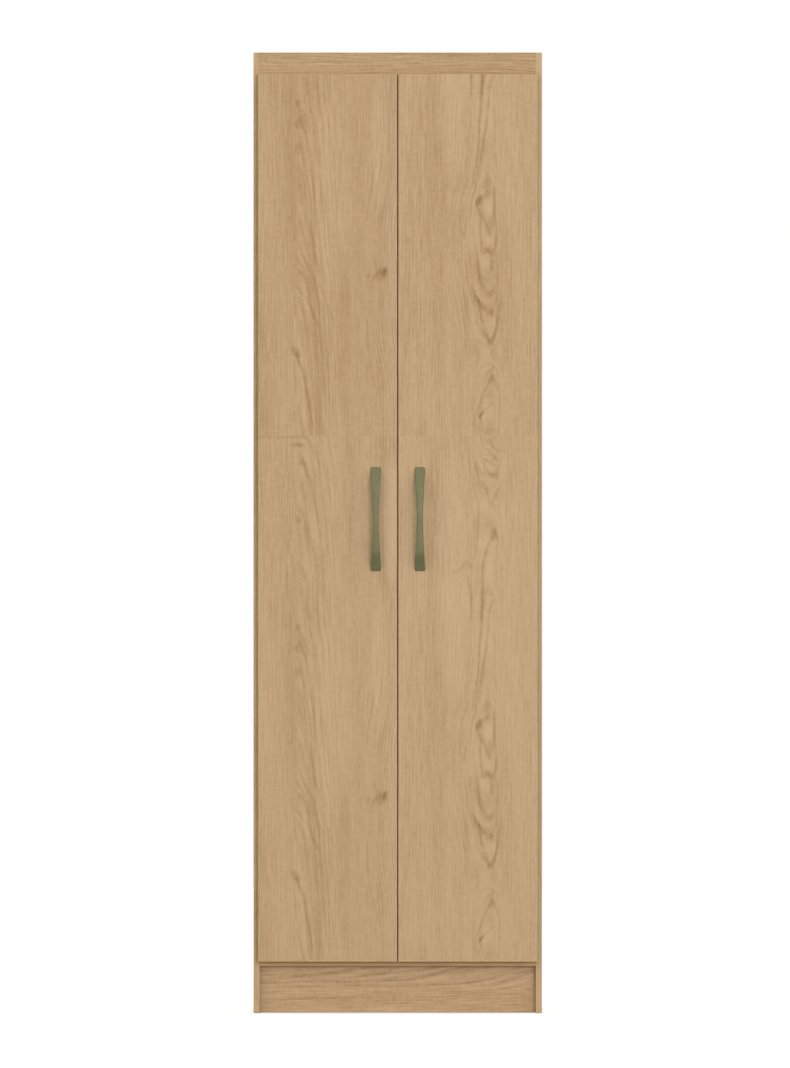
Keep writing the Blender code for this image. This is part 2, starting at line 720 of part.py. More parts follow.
def add_hinges(name, side, axis, patterns):
    """Three hinges: cup and pin swing with the door, arm and mounting plate stay on the side panel."""
    meshes = {piece: mirrored_mesh(mesh, side) for piece, mesh in patterns.items()}
    for level, z in hinge_heights().items():
        for piece, mesh in meshes.items():
            carrier = axis if piece in ("cup", "pin") else None
            place = (side * PIN_X, PIN_Y, z)
            add_piece("_".join(("hinge", piece, name, level)), mesh, place, STEEL, carrier)


clear_scene()
PARTS = new_collection("wardrobe")
CUTTERS = new_collection("wardrobe_cutters")
OAK = make_material("oak_board", (190, 160, 122), 0.55)
HARDBOARD = make_material("hardboard", (150, 112, 76), 0.75)
SAGE_PAINT = make_material("sage_paint", (125, 126, 96), 0.45)
STEEL = make_material("zinc_plated_steel", (190, 190, 188), 0.3, 1.0)
ZINC = make_material("die_cast_zinc", (170, 170, 168), 0.4, 1.0)
PALE_PLASTIC = make_material("pale_plastic", (214, 200, 176), 0.5)
RUBBER = make_material("clear_grey_rubber", (196, 196, 190), 0.6)

add_carcass()
add_back()
add_hanging_rail()
HINGE = hinge_patterns()
for SIDE_NAME, SIDE in SIDES.items():
    AXIS = add_axis(SIDE_NAME, SIDE)
    add_door(SIDE_NAME, SIDE, AXIS)
    add_hinges(SIDE_NAME, SIDE, AXIS, HINGE)
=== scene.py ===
import bpy
import math
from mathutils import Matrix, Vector


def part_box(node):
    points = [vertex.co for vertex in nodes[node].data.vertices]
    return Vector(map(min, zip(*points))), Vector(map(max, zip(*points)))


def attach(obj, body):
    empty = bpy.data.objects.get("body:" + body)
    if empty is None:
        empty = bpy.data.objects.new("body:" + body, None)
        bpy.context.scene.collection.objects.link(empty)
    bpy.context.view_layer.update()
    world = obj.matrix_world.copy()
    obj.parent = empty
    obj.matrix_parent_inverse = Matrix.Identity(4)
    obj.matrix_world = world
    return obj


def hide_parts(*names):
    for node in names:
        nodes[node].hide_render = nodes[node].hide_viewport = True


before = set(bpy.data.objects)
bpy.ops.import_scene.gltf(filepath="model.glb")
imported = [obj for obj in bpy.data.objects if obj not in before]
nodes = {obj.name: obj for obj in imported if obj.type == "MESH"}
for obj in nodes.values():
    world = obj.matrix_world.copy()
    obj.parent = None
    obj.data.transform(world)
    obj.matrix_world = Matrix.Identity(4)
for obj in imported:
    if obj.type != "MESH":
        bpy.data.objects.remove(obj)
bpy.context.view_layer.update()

# Side panels: two upright boards of particle board, 12 mm thick, that carry everything else.
# They are faced and edged with oak-grain decor paper, printed dark on pale and sealed to a satin skin.
# The grain runs up the board, on its faces and along its long edges.


class Tone:
    """A number that changes over a surface, such as a height or a darkness; sums of it become Math nodes."""

    def __init__(self, tree, socket):
        self.tree = tree
        self.socket = socket

    def __add__(self, other):
        return reckon("ADD", self, other)

    def __radd__(self, other):
        return reckon("ADD", other, self)

    def __sub__(self, other):
        return reckon("SUBTRACT", self, other)

    def __rsub__(self, other):
        return reckon("SUBTRACT", other, self)

    def __mul__(self, other):
        return reckon("MULTIPLY", self, other)

    def __truediv__(self, other):
        return reckon("DIVIDE", self, other)


def reckon(operation, *values):
    """One Math node over tones and plain numbers."""
    tree = next(value.tree for value in values if isinstance(value, Tone))
    node = tree.nodes.new("ShaderNodeMath")
    node.operation = operation
    for inlet, value in zip(node.inputs, values):
        if isinstance(value, Tone):
            tree.links.new(value.socket, inlet)
        else:
            inlet.default_value = value
    return Tone(tree, node.outputs["Value"])


def ease(tone, start, end):
    """0 up to start and 1 from end on, with a soft change between; start may be the higher."""
    node = tone.tree.nodes.new("ShaderNodeMapRange")
    node.interpolation_type = "SMOOTHSTEP"
    tone.tree.links.new(tone.socket, node.inputs["Value"])
    for name, value in (("From Min", start), ("From Max", end)):
        if isinstance(value, Tone):
            tone.tree.links.new(value.socket, node.inputs[name])
        else:
            node.inputs[name].default_value = value
    return Tone(tone.tree, node.outputs["Result"])


def between(tone, other, share):
    """tone where share is 0 and other where it is 1."""
    return tone + (other - tone) * share


def cloud(across, along, seed=0.0, detail=2.0):
    """Smooth noise about zero; across and along are already in the noise's own grid."""
    tree = across.tree
    place = tree.nodes.new("ShaderNodeCombineXYZ")
    tree.links.new((across + seed).socket, place.inputs["X"])
    tree.links.new((along + seed * 1.7).socket, place.inputs["Y"])
    noise = tree.nodes.new("ShaderNodeTexNoise")
    noise.noise_dimensions = "2D"
    noise.inputs["Scale"].default_value = 1.0
    noise.inputs["Detail"].default_value = detail
    tree.links.new(place.outputs["Vector"], noise.inputs["Vector"])
    return Tone(tree, noise.outputs["Fac"]) - 0.5


def new_finish(name):
    """A new material, with its shader and its object coordinates in millimetres."""
    material = bpy.data.materials.new(name)
    material.use_nodes = True
    tree = material.node_tree
    place = tree.nodes.new("ShaderNodeTexCoord")
    split = tree.nodes.new("ShaderNodeSeparateXYZ")
    tree.links.new(place.outputs["Object"], split.inputs["Vector"])
    facing = tree.nodes.new("ShaderNodeSeparateXYZ")
    tree.links.new(place.outputs["Normal"], facing.inputs["Vector"])
    x, y, z = (Tone(tree, split.outputs[axis]) * 1000.0 for axis in "XYZ")
    normal = [Tone(tree, facing.outputs[axis]) for axis in "XYZ"]
    return material, (x, y, z), normal


def set_shader(material, **values):
    """Sets fixed values on a material's shader, named as on its sockets with _ for each space."""
    for name, value in values.items():
        socket = material.node_tree.nodes["Principled BSDF"].inputs[name.replace("_", " ")]
        socket.default_value = value


def print_oak(rings_at, across, along, seed, figure=0.0):
    """Darkness of the oak print, 0 palest to 1 darkest: late wood on the rings, broad bands and fine fibres.

    figure is 1 where the rings are drawn evenly and clearly, and 0 where they come and go.
    """
    rings = rings_at(across, along)
    sideways = rings_at(across + 1.5, along) - rings
    upwards = rings_at(across, along + 1.5) - rings
    steep = reckon("SQRT", sideways * sideways + upwards * upwards) / 1.5
    wander = cloud(across * 0.09, along * 0.012, seed, 1.0)
    year = rings + wander * (0.5 - figure * 0.22) + 0.5
    rise = reckon("ABSOLUTE", upwards) / 1.5
    half = reckon("MINIMUM", (steep + rise * 0.6) * 5.2 + 0.02, 0.44)
    late = ease(reckon("ABSOLUTE", reckon("FRACT", year) - 0.5), half, 0.0)
    late = late * (ease(steep, 0.24, 0.1) * 0.75 + 0.25)
    level = rise / (steep + 0.0001)
    chance = across.tree.nodes.new("ShaderNodeTexWhiteNoise")
    chance.noise_dimensions = "1D"
    across.tree.links.new(reckon("FLOOR", year + seed).socket, chance.inputs["W"])
    weight = Tone(across.tree, chance.outputs["Value"])
    patch = cloud(rings * 0.5, along * 0.006, seed + 11.0, 1.0)
    loose = weight * weight * (patch * 2.0 + 0.5) * 0.5 + 0.1
    drawn = (weight * 0.4 + 0.75) * (patch + 0.9) * (ease(level, 0.05, 0.4) * 0.45 + 0.55)
    late = late * between(loose, drawn, figure)
    band = cloud(across * 0.022, along * 0.0012, seed + 23.0, 2.0)
    fibre = cloud(rings * 2.6 + across * 0.05, along * 0.013, seed + 37.0, 2.0)
    fine = cloud(across * 0.55, along * 0.035, seed + 53.0, 2.0)
    fleck = cloud(across * 0.08, along * 0.16, seed + 67.0, 2.0)
    return late * 0.26 + band * 0.32 + fibre * 0.38 + fine * 0.26 + fleck * 0.14 + 0.4


def shades(tone, *stops):
    """Colours along a tone from 0 to 1; each stop is a place and a colour."""
    ramp = tone.tree.nodes.new("ShaderNodeValToRGB")
    tone.tree.links.new(tone.socket, ramp.inputs["Fac"])
    marks = ramp.color_ramp.elements
    for place, colour in stops[1:-1]:
        marks.new(place).color = (*colour, 1.0)
    for mark, (place, colour) in ((marks[0], stops[0]), (marks[len(marks) - 1], stops[-1])):
        mark.position = place
        mark.color = (*colour, 1.0)
    return ramp.outputs["Color"]


def finish(material, colour, rough, height, depth):
    """Sets a shader's colour, its gloss and the relief of its skin, depth in metres."""
    tree = material.node_tree
    shader = tree.nodes["Principled BSDF"]
    tree.links.new(colour, shader.inputs["Base Color"])
    tree.links.new(rough.socket, shader.inputs["Roughness"])
    bump = tree.nodes.new("ShaderNodeBump")
    bump.inputs["Distance"].default_value = depth
    tree.links.new(height.socket, bump.inputs["Height"])
    tree.links.new(bump.outputs["Normal"], shader.inputs["Normal"])


def blend_colours(colour, other, share):
    """One colour where share is 0 and the other where it is 1."""
    tree = share.tree
    mix = tree.nodes.new("ShaderNodeMix")
    mix.data_type = "RGBA"
    tree.links.new(share.socket, mix.inputs[0])
    tree.links.new(colour, mix.inputs[6])
    tree.links.new(other, mix.inputs[7])
    return mix.outputs[2]


def finish_oak(material, dark, across, along, raw=None, painted_warm_bounce=0.0):
    """Colours the print from pale to dark oak, with a satin skin and pressed pores.

    raw is 1 where the chipboard is bare, and the warm share takes out blue and a little green, a painted
    warm cast of light bounced into boards in shade.
    """
    green = 1.0 - painted_warm_bounce * 0.35
    blue = 1.0 - painted_warm_bounce
    colour = shades(
        dark,
        (0.0, (0.575, 0.397 * green, 0.221 * blue)),
        (0.42, (0.463, 0.302 * green, 0.1485 * blue)),
        (0.72, (0.324, 0.191 * green, 0.068 * blue)),
        (1.0, (0.14, 0.068 * green, 0.014 * blue)),
    )
    pressed = ease(cloud(across * 1.6, along * 0.09, 71.0, 1.0), 0.12, 0.3)
    rough = 0.46 + dark * 0.08 + pressed * 0.1
    height = pressed * -0.2
    if raw is not None:
        chips = cloud(across * 0.45, along * 0.16, 91.0, 3.0)
        chips = chips + cloud(across * 1.3, along * 0.7, 97.0) * 0.7
        bare = shades(
            chips * 1.4 + 0.5,
            (0.15, (0.52, 0.36, 0.19)),
            (0.55, (0.36, 0.225, 0.105)),
            (0.9, (0.15, 0.08, 0.032)),
        )
        colour = blend_colours(colour, bare, raw)
        rough = between(rough, 0.85, raw)
        height = between(height, chips * 2.5, raw)
    finish(material, colour, rough, height, 0.0001)


def sawn_rings(seed):
    """Rings of a plain-sawn board: level lines of a long, slow noise laid over an even count."""

    def rings_at(across, along):
        slow = cloud(across * 0.006, along * 0.0011, seed, 1.0)
        return across * 0.09 + slow * 26.0

    return rings_at


def upright_oak(name, seed, painted_shade):
    """Oak print with its grain up the board, darkened by painted shade and paled by it below zero as painted
    light; rear and bottom edges are bare.
    """
    material, (x, y, z), normal = new_finish(name)
    end = ease(reckon("ABSOLUTE", normal[2]), 0.6, 0.8)
    across = between(x + y, x, end)
    along = between(z, y, end)
    dark = print_oak(sawn_rings(seed), across, along, seed, 0.3) + painted_shade
    raw = reckon("MAXIMUM", ease(normal[1], 0.6, 0.8), ease(normal[2], -0.6, -0.8))
    finish_oak(material, dark, across, along, raw)
    return material


def dress(name, material):
    """Gives a CAD node its finish in every material slot that it has."""
    for holder in nodes[name].material_slots:
        holder.material = material


# The left panel's print is set a little darker as painted shade on the strip beside the door; the right
# one's is paler as painted light.
dress("side_panel_left", upright_oak("oak_side_left", 3.0, 0.04))
dress("side_panel_right", upright_oak("oak_side_right", 8.0, -0.05))

# Top, hat shelf and bottom: boards of the same stuff, laid level between the side panels.
# Their grain runs from side to side, on the faces and along the front edges; the rear edges are bare.
# Cams hold them to the panels.


def level_oak(name, seed, painted_shade, painted_warm_bounce=0.0):
    """Oak print with its grain from side to side, darkened by painted shade and paled by it below zero as
    painted light.
    """
    material, (x, y, z), normal = new_finish(name)
    across = y + z
    dark = print_oak(sawn_rings(seed), across, x, seed, 0.3) + painted_shade
    raw = reckon("MAXIMUM", ease(normal[1], 0.6, 0.8), ease(reckon("ABSOLUTE", normal[0]), 0.6, 0.8))
    finish_oak(material, dark, across, x, raw, painted_warm_bounce)
    return material


dress("top_panel", level_oak("oak_top_panel", 14.0, 0.0))
dress("hat_shelf", level_oak("oak_hat_shelf", 19.0, 0.0))
# The bottom panel's print is set paler and warmer: painted light and a painted warm bounce for its front
# edge, which lies in shade under the doors.
dress("bottom_panel", level_oak("oak_bottom_panel", 24.0, -0.25, 0.38))

# Cam fittings: twelve zinc castings let into the undersides of the level boards, four to a board.
# Turned by the slot in its face, each draws its board tight against a bolt in the side panel.
# They are left as they come from the mould, dull and a little cloudy.


def open_mesh():
    """Opens the mesh of the active piece for editing."""
    bpy.ops.object.mode_set(mode="EDIT")


def close_mesh():
    """Closes the mesh that is open."""
    bpy.ops.object.mode_set(mode="OBJECT")


def pick(kind, test):
    """In the open mesh, selects the points, edges or faces that pass a test on their middle."""
    mesh = bpy.context.edit_object.data
    bpy.ops.mesh.select_mode(type=kind)
    bpy.ops.mesh.select_all(action="DESELECT")
    close_mesh()
    points = mesh.vertices
    if kind == "VERT":
        for point in points:
            point.select = test(point.co, point)
    elif kind == "EDGE":
        for edge in mesh.edges:
            edge.select = test((points[edge.vertices[0]].co + points[edge.vertices[1]].co) / 2, edge)
    else:
        for face in mesh.polygons:
            face.select = test(face.center, face)
    open_mesh()


def extrude(*shift):
    """Draws the selected faces of the open mesh out by a distance."""
    bpy.ops.mesh.extrude_region_move(TRANSFORM_OT_translate={"value": shift})


def choose(piece):
    """Selects one piece alone and makes it the active one."""
    bpy.ops.object.select_all(action="DESELECT")
    piece.select_set(True)
    bpy.context.view_layer.objects.active = piece


def settle(piece):
    """Puts the place of a piece into its mesh, so that the object itself stands at the origin."""
    choose(piece)
    bpy.ops.object.transform_apply(location=True, rotation=True, scale=True)


def round_blank(sides, radius, height, place, tilt=(0.0, 0.0, 0.0)):
    """A plain round blank to be worked into a piece, with its mesh open."""
    bpy.ops.mesh.primitive_cylinder_add(
        vertices=sides,
        radius=radius,
        depth=height,
        location=place,
        rotation=tilt,
    )
    blank = bpy.context.active_object
    settle(blank)
    open_mesh()
    return blank


def cut_slot(piece, place, size):
    """Cuts a straight slot into a piece with a block, which is thrown away."""
    bpy.ops.mesh.primitive_cube_add(size=1.0, location=place)
    block = bpy.context.active_object
    block.scale = size
    slot = piece.modifiers.new("slot", "BOOLEAN")
    slot.operation = "DIFFERENCE"
    slot.solver = "EXACT"
    slot.object = block
    bpy.context.view_layer.objects.active = piece
    bpy.ops.object.modifier_apply(modifier="slot")
    bpy.data.objects.remove(block)


def copy_piece(piece, name, shift=(0.0, 0.0, 0.0), turn=(0.0, 0.0, 0.0)):
    """A copy of a piece with a mesh of its own, turned about the origin and then moved."""
    choose(piece)
    bpy.ops.object.duplicate(linked=False)
    twin = bpy.context.active_object
    twin.name = name
    twin.data.name = name
    twin.rotation_euler = turn
    twin.location = shift
    settle(twin)
    return twin


def smooth(piece, angle=35.0):
    """Shades a piece smooth, apart from edges sharper than an angle in degrees."""
    choose(piece)
    bpy.ops.object.shade_smooth_by_angle(angle=math.radians(angle))


def fit(piece, material, body, slot_name, *stands_for):
    """Gives a finished piece its material, its body and the CAD nodes that it stands for."""
    piece.data.materials.clear()
    piece.data.materials.append(material)
    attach(piece, body)
    if stands_for:
        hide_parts(*stands_for)


def haze(x, y, z, detail=2.0):
    """Smooth noise about zero through the body of a piece; the place is already in the noise's own grid."""
    tree = x.tree
    place = tree.nodes.new("ShaderNodeCombineXYZ")
    for inlet, tone in zip(place.inputs, (x, y, z)):
        tree.links.new(tone.socket, inlet)
    noise = tree.nodes.new("ShaderNodeTexNoise")
    noise.inputs["Scale"].default_value = 1.0
    noise.inputs["Detail"].default_value = detail
    tree.links.new(place.outputs["Vector"], noise.inputs["Vector"])
    return Tone(tree, noise.outputs["Fac"]) - 0.5


def metal(name, pale, deep, rough, grain):
    """Metal with a cloudy bloom and fine marks, which are drawn out along an axis where grain is small."""
    material, (x, y, z), _ = new_finish(name)
    set_shader(material, Metallic=1.0)
    bloom = haze(x * 0.07, y * 0.07, z * 0.07)
    marks = haze(x * grain[0], y * grain[1], z * grain[2], 3.0)
    colour = shades(bloom + marks * 0.7 + 0.5, (0.2, pale), (0.8, deep))
    finish(material, colour, rough + bloom * 0.16 + marks * 0.16, marks, 0.00004)
    return material


CAM_RIM = 0.0011
CAM_DISH = 0.0004
CAM_SLOT = (0.009, 0.0018, 0.004)
cast_zinc = metal("cast_zinc", (0.6, 0.6, 0.61), (0.4, 0.4, 0.41), 0.42, (0.8, 0.8, 0.8))
low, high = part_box("cam_top_left_front")
middle = (low + high) / 2
cam = round_blank(48, (high.x - low.x) / 2, high.z - low.z, middle)
pick("FACE", lambda place, face: face.normal.z < -0.9)
bpy.ops.mesh.inset(thickness=CAM_RIM)
extrude(0.0, 0.0, CAM_DISH)
pick("EDGE", lambda place, edge: place.z < low.z + CAM_DISH / 4)
bpy.ops.mesh.bevel(offset=0.0002, segments=2)
close_mesh()
cut_slot(cam, (middle.x, middle.y, low.z), CAM_SLOT)
smooth(cam)
for name in [name for name in nodes if name.startswith("cam_")]:
    twin = copy_piece(cam, "fitting_" + name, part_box(name)[0] - low)
    fit(twin, cast_zinc, "cabinet", "die_cast_zinc", name)
bpy.data.objects.remove(cam)

# Top rail: a narrow board on edge above the doors, flush with the side panels and glued tight between them.
# It is printed and edged as they are, with fine level lines, and its long edges are eased.


def rail_rings(across, along):
    """Fine lines that run level along the rail and drift a little."""
    return across * 0.17 + cloud(across * 0.02, along * 0.0016, 29.0, 1.0) * 4.0


RAIL_MIDDLE = 1785.0
RAIL_FOOT = 1768.0
material, (x, y, z), _ = new_finish("oak_top_rail")
dark = print_oak(rail_rings, z + y, x, 29.0) * 1.4 + 0.02
# The print darkens towards the top and pales towards the lower edge, most in its lowest few millimetres:
# painted light against the shade the proud door tops put on it. It also pales towards both ends.
dark = dark + (z - RAIL_MIDDLE) * 0.006 - x * x * 0.000001
dark = dark - ease(z, RAIL_FOOT + 9.0, RAIL_FOOT) * 0.05
finish_oak(material, dark, z + y, x)
low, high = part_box("top_rail")
bpy.ops.mesh.primitive_cube_add(size=1.0, location=(low + high) / 2)
top_rail = bpy.context.active_object
top_rail.name = "edged_top_rail"
top_rail.scale = (2.0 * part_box("side_panel_right")[0].x, high.y - low.y, high.z - low.z)
settle(top_rail)
open_mesh()
pick("EDGE", lambda place, edge: abs(place.x) < 0.001)
bpy.ops.mesh.bevel(offset=0.0003, segments=2)
close_mesh()
smooth(top_rail)
fit(top_rail, material, "cabinet", "oak_board", "top_rail")

# Plinth: a level board set back under the doors, down to the floor.
# Its print shows plain-sawn lines that climb to the right, one after the other.
# It is edged and sealed as the other boards are.


def curve(tone, length, height, points):
    """A drawn curve: the value at each place along the length."""
    node = tone.tree.nodes.new("ShaderNodeFloatCurve")
    line = node.mapping.curves[0]
    line.points[0].location = (points[0][0] / length, points[0][1] / height)
    line.points[1].location = (points[-1][0] / length, points[-1][1] / height)
    for place, value in points[1:-1]:
        line.points.new(place / length, value / height)
    node.mapping.update()
    tone.tree.links.new((tone / length).socket, node.inputs["Value"])
    return Tone(tone.tree, node.outputs["Value"]) * height


def stroke(run, side, half_width, line):
    """A soft drawn line, thicker where it lies across its run, which fades at both ends.

    line gives its run and its place aside, from one end to the other.
    """
    first = line[0][0]
    length = line[-1][0] - first
    low = min(place for step, place in line) - 1.0
    reach = max(place for step, place in line) + 1.0 - low
    points = [(step - first, place - low) for step, place in line]
    path = curve(run - first, length, reach, points)
    ahead = curve(run - (first - 1.0), length, reach, points)
    slant = reckon("POWER", (ahead - path) * (ahead - path) + 1.0, 0.36)
    off = reckon("ABSOLUTE", side - low - path) / slant
    share = (run - first) / length
    return ease(off, half_width, 0.0) * ease(share, 0.0, 0.16) * ease(share, 1.0, 0.84)


def draw_lines(dark, across, along, seed, upright, bowls=()):
    """Adds drawn lines to a print, worn thin here and there: some run along the grain, some across it.

    Each line has a strength, half a width in millimetres and a path.
    """
    worn = cloud(across * 0.3, along * 0.05, seed) + 0.97
    lines = 0.0
    for strength, half_width, path in upright:
        lines = stroke(along, across, half_width, path) * strength + lines
    for strength, half_width, path in bowls:
        lines = stroke(across, along, half_width, path) * strength + lines
    return dark + lines * worn


def plinth_rings(across, along):
    """Level lines that spread apart and climb to the right, the upper ones first."""
    bend = 60.0 - along * 0.06
    above = reckon("SMOOTH_MAX", across - bend, 0.0, 10.0)
    right = reckon("MAXIMUM", along, 0.0)
    return (across - above * 0.7 - right * right * 0.00016) * 0.2


PLINTH_LINES = [
    (0.2, 6.0, [
        (-340, 62), (-258, 64), (-220, 66), (-190, 68), (-160, 70), (-130, 74), (-105, 76), (-80, 75.5),
        (-50, 73.5), (-30, 75), (-15, 80), (0, 86), (12, 90), (50, 98),
    ]),
    (0.26, 6.0, [
        (-220, 58), (-150, 59.5), (-100, 59.5), (-50, 60.5), (0, 62), (40, 65), (65, 72), (85, 78),
        (110, 83), (140, 86), (165, 88), (240, 92),
    ]),
    (0.26, 5.0, [
        (-110, 52), (-15, 52), (30, 52), (70, 54), (120, 57), (150, 60), (180, 65), (200, 72), (225, 76),
        (256, 79), (330, 82),
    ]),
    (0.17, 4.6, [(40, 44), (80, 46), (130, 50), (170, 54.5), (200, 59), (230, 64), (256, 66.5), (310, 69)]),
    (0.17, 4.4, [(-340, 56), (-258, 57), (-200, 58), (-150, 60), (-100, 59.5), (-40, 60)]),
    (0.16, 4.4, [(-340, 46), (-258, 47), (-220, 48), (-180, 50), (-100, 51), (-40, 52)]),
    (0.24, 6.5, [(-290, 72), (-258, 80), (-240, 84), (-222, 88), (-190, 92)]),
    (0.12, 4.0, [(60, 37), (100, 39), (140, 42), (200, 46), (256, 53), (310, 57)]),
    (0.11, 3.8, [(-340, 37), (-258, 38), (-200, 38.5), (-130, 39), (-90, 39)]),
    (0.11, 3.8, [(80, 31), (120, 33), (160, 36), (210, 40), (256, 45), (310, 48)]),
    (0.1, 3.8, [(-340, 24), (-258, 25), (-200, 26.5), (-120, 27), (-60, 27.5)]),
    (0.09, 3.8, [(-330, 9), (-258, 12), (-200, 18), (-140, 21), (-100, 21)]),
]
material, (x, y, z), _ = new_finish("oak_plinth")
# The print is set pale, partly as painted light for a board set back in the doors' shade, and paler still
# towards its top as painted light against the shade under the bottom panel.
dark = print_oak(plinth_rings, z, x, 44.0) * 2.2 - 0.65 - ease(z, 56.0, 82.0) * 0.17
dark = draw_lines(dark, z, x, 13.0, PLINTH_LINES)
# Its warm cast is a painted warm bounce of light in that shade.
finish_oak(material, dark, z + y, x, painted_warm_bounce=0.13)
dress("plinth", material)

# Back: two sheets of 3 mm hardboard, slid into grooves in the side panels from above.
# The front is lacquered with the oak print; the back is left brown, with the press cloth's fine weave.
# A pale plastic strip of H section joins them, and small nails hold them to the level boards.

for count, name in enumerate(("back_panel_lower", "back_panel_upper")):
    material, (x, y, z), normal = new_finish("oak_and_hardboard_" + name)
    seed = 101.0 + 6.0 * count
    dark = print_oak(sawn_rings(seed), x, z, seed, 0.3)
    printed = shades(
        dark,
        (0.0, (0.56, 0.38, 0.195)),
        (0.42, (0.45, 0.29, 0.138)),
        (1.0, (0.17, 0.09, 0.035)),
    )
    weave = reckon("SINE", x * 4.2) * reckon("SINE", z * 4.2)
    fleck = cloud(x * 0.5, z * 0.5, seed + 3.0, 4.0) + cloud(x * 0.02, z * 0.02, seed + 7.0) * 0.15
    brown = shades(
        fleck * 1.2 + 0.5,
        (0.1, (0.33, 0.195, 0.098)),
        (0.55, (0.235, 0.128, 0.058)),
        (0.95, (0.12, 0.06, 0.026)),
    )
    behind = ease(normal[1], -0.5, 0.5)
    colour = blend_colours(printed, brown, behind)
    rough = between(dark * 0.08 + 0.42, fleck * 0.2 + 0.78, behind)
    height = between(fleck * 0.1, weave * 0.5 + fleck * 0.6, behind)
    finish(material, colour, rough, height, 0.00012)
    dress(name, material)

material, (x, y, z), _ = new_finish("pale_extruded_plastic")
drawn = haze(x * 0.004, y * 1.5, z * 1.5)
mottle = haze(x * 0.05, y * 0.05, z * 0.05)
colour = shades(drawn * 0.5 + mottle + 0.5, (0.2, (0.66, 0.56, 0.4)), (0.8, (0.56, 0.465, 0.32)))
finish(material, colour, drawn * 0.12 + mottle * 0.1 + 0.4, drawn, 0.00005)
dress("back_joint_strip", material)

steel = metal("bright_steel", (0.62, 0.61, 0.6), (0.44, 0.43, 0.42), 0.32, (0.6, 0.6, 0.6))


def fit_copies(pattern, name, places, turn, body):
    """Fits copies of a nail or screw at some places of a body, all facing one way, as one piece."""
    copies = [copy_piece(pattern, name, place, turn) for place in places]
    choose(copies[0])
    for twin in copies:
        twin.select_set(True)
    bpy.ops.object.join()
    fit(copies[0], steel, body, "zinc_plated_steel")


NAIL_HEAD = 0.0023
NAIL_HEAD_HEIGHT = 0.001
NAIL_SHANK = 0.0007
NAIL_LENGTH = 0.012
NAIL_SPACING = 0.111
TO_THE_REAR = (-math.pi / 2, 0.0, 0.0)
nail = round_blank(20, NAIL_HEAD, NAIL_HEAD_HEIGHT, (0.0, 0.0, NAIL_HEAD_HEIGHT / 2))
pick("FACE", lambda place, face: face.normal.z > 0.9)
bpy.ops.mesh.inset(thickness=NAIL_HEAD * 0.3)
bpy.ops.transform.translate(value=(0.0, 0.0, NAIL_HEAD_HEIGHT * 0.3))
pick("FACE", lambda place, face: face.normal.z < -0.9)
bpy.ops.mesh.inset(thickness=NAIL_HEAD - NAIL_SHANK)
extrude(0.0, 0.0, -NAIL_LENGTH)
close_mesh()
smooth(nail, 50.0)
sheet_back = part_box("back_panel_lower")[1].y
places = []
for board in ("bottom_panel", "hat_shelf", "top_panel"):
    low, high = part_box(board)
    middle = (low + high) / 2
    places += [(step * NAIL_SPACING, sheet_back, middle.z) for step in range(-2, 3)]
fit_copies(nail, "back_nails", places, TO_THE_REAR, "cabinet")
bpy.data.objects.remove(nail)

# Hanging rail: a chromed steel tube, 25 mm thick, under the hat shelf.
# It is welded along its length, drawn, polished and plated, and cut off square.
# Its ends lie in two zinc sockets.


def face_outwards():
    """Turns every face of the open mesh outwards."""
    bpy.ops.mesh.select_all(action="SELECT")
    bpy.ops.mesh.normals_make_consistent(inside=False)


RAIL_WALL = 0.0012
low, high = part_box("hanging_rail")
bpy.ops.mesh.primitive_cylinder_add(
    vertices=72,
    radius=(high.z - low.z) / 2,
    depth=high.x - low.x,
    end_fill_type="NOTHING",
    location=(low + high) / 2,
    rotation=(0.0, math.pi / 2, 0.0),
)
rail = bpy.context.active_object
rail.name = "chromed_tube"
settle(rail)
wall = rail.modifiers.new("wall", "SOLIDIFY")
wall.thickness = RAIL_WALL
wall.offset = -1.0
bpy.ops.object.modifier_apply(modifier="wall")
open_mesh()
face_outwards()
close_mesh()
smooth(rail)
chrome = metal("polished_chrome", (0.8, 0.81, 0.82), (0.66, 0.67, 0.68), 0.14, (0.012, 1.4, 1.4))
fit(rail, chrome, "cabinet", "rail_chrome", "hanging_rail")

# Rail sockets: two round zinc castings on the side panels, each with a rim that holds the rail's end.
# The brim and the rim are softened all round, and two screws go through the brim.


def round_edges(angle, width, steps):
    """Rounds the edges of the open mesh that are sharper than an angle in degrees."""
    bpy.ops.mesh.select_mode(type="EDGE")
    bpy.ops.mesh.select_all(action="DESELECT")
    bpy.ops.mesh.edges_select_sharp(sharpness=math.radians(angle))
    bpy.ops.mesh.bevel(offset=width, segments=steps)


SOCKET_BRIM = 0.003
SOCKET_RIM = 0.015
SOCKET_BORE = 0.0128
SOCKET_SCREW_OFFSET = 0.0195
low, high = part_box("rail_socket_left")
middle = (low + high) / 2
socket_radius = (high.z - low.z) / 2
rim_height = high.x - low.x - SOCKET_BRIM
bpy.ops.mesh.primitive_circle_add(
    vertices=72,
    radius=socket_radius,
    fill_type="NGON",
    location=(low.x, middle.y, middle.z),
    rotation=(0.0, math.pi / 2, 0.0),
)
socket = bpy.context.active_object
socket.name = "cast_socket_left"
settle(socket)
open_mesh()
bpy.ops.mesh.select_all(action="SELECT")
extrude(SOCKET_BRIM, 0.0, 0.0)
bpy.ops.mesh.inset(thickness=socket_radius - SOCKET_RIM)
extrude(rim_height, 0.0, 0.0)
bpy.ops.mesh.inset(thickness=SOCKET_RIM - SOCKET_BORE)
extrude(-rim_height, 0.0, 0.0)
face_outwards()
round_edges(60.0, 0.0005, 3)
close_mesh()
smooth(socket)
other_socket = copy_piece(socket, "cast_socket_right", (0.0, 2.0 * middle.y, 0.0), (0.0, 0.0, math.pi))
fit(socket, cast_zinc, "cabinet", "die_cast_zinc", "rail_socket_left")
fit(other_socket, cast_zinc, "cabinet", "die_cast_zinc", "rail_socket_right")


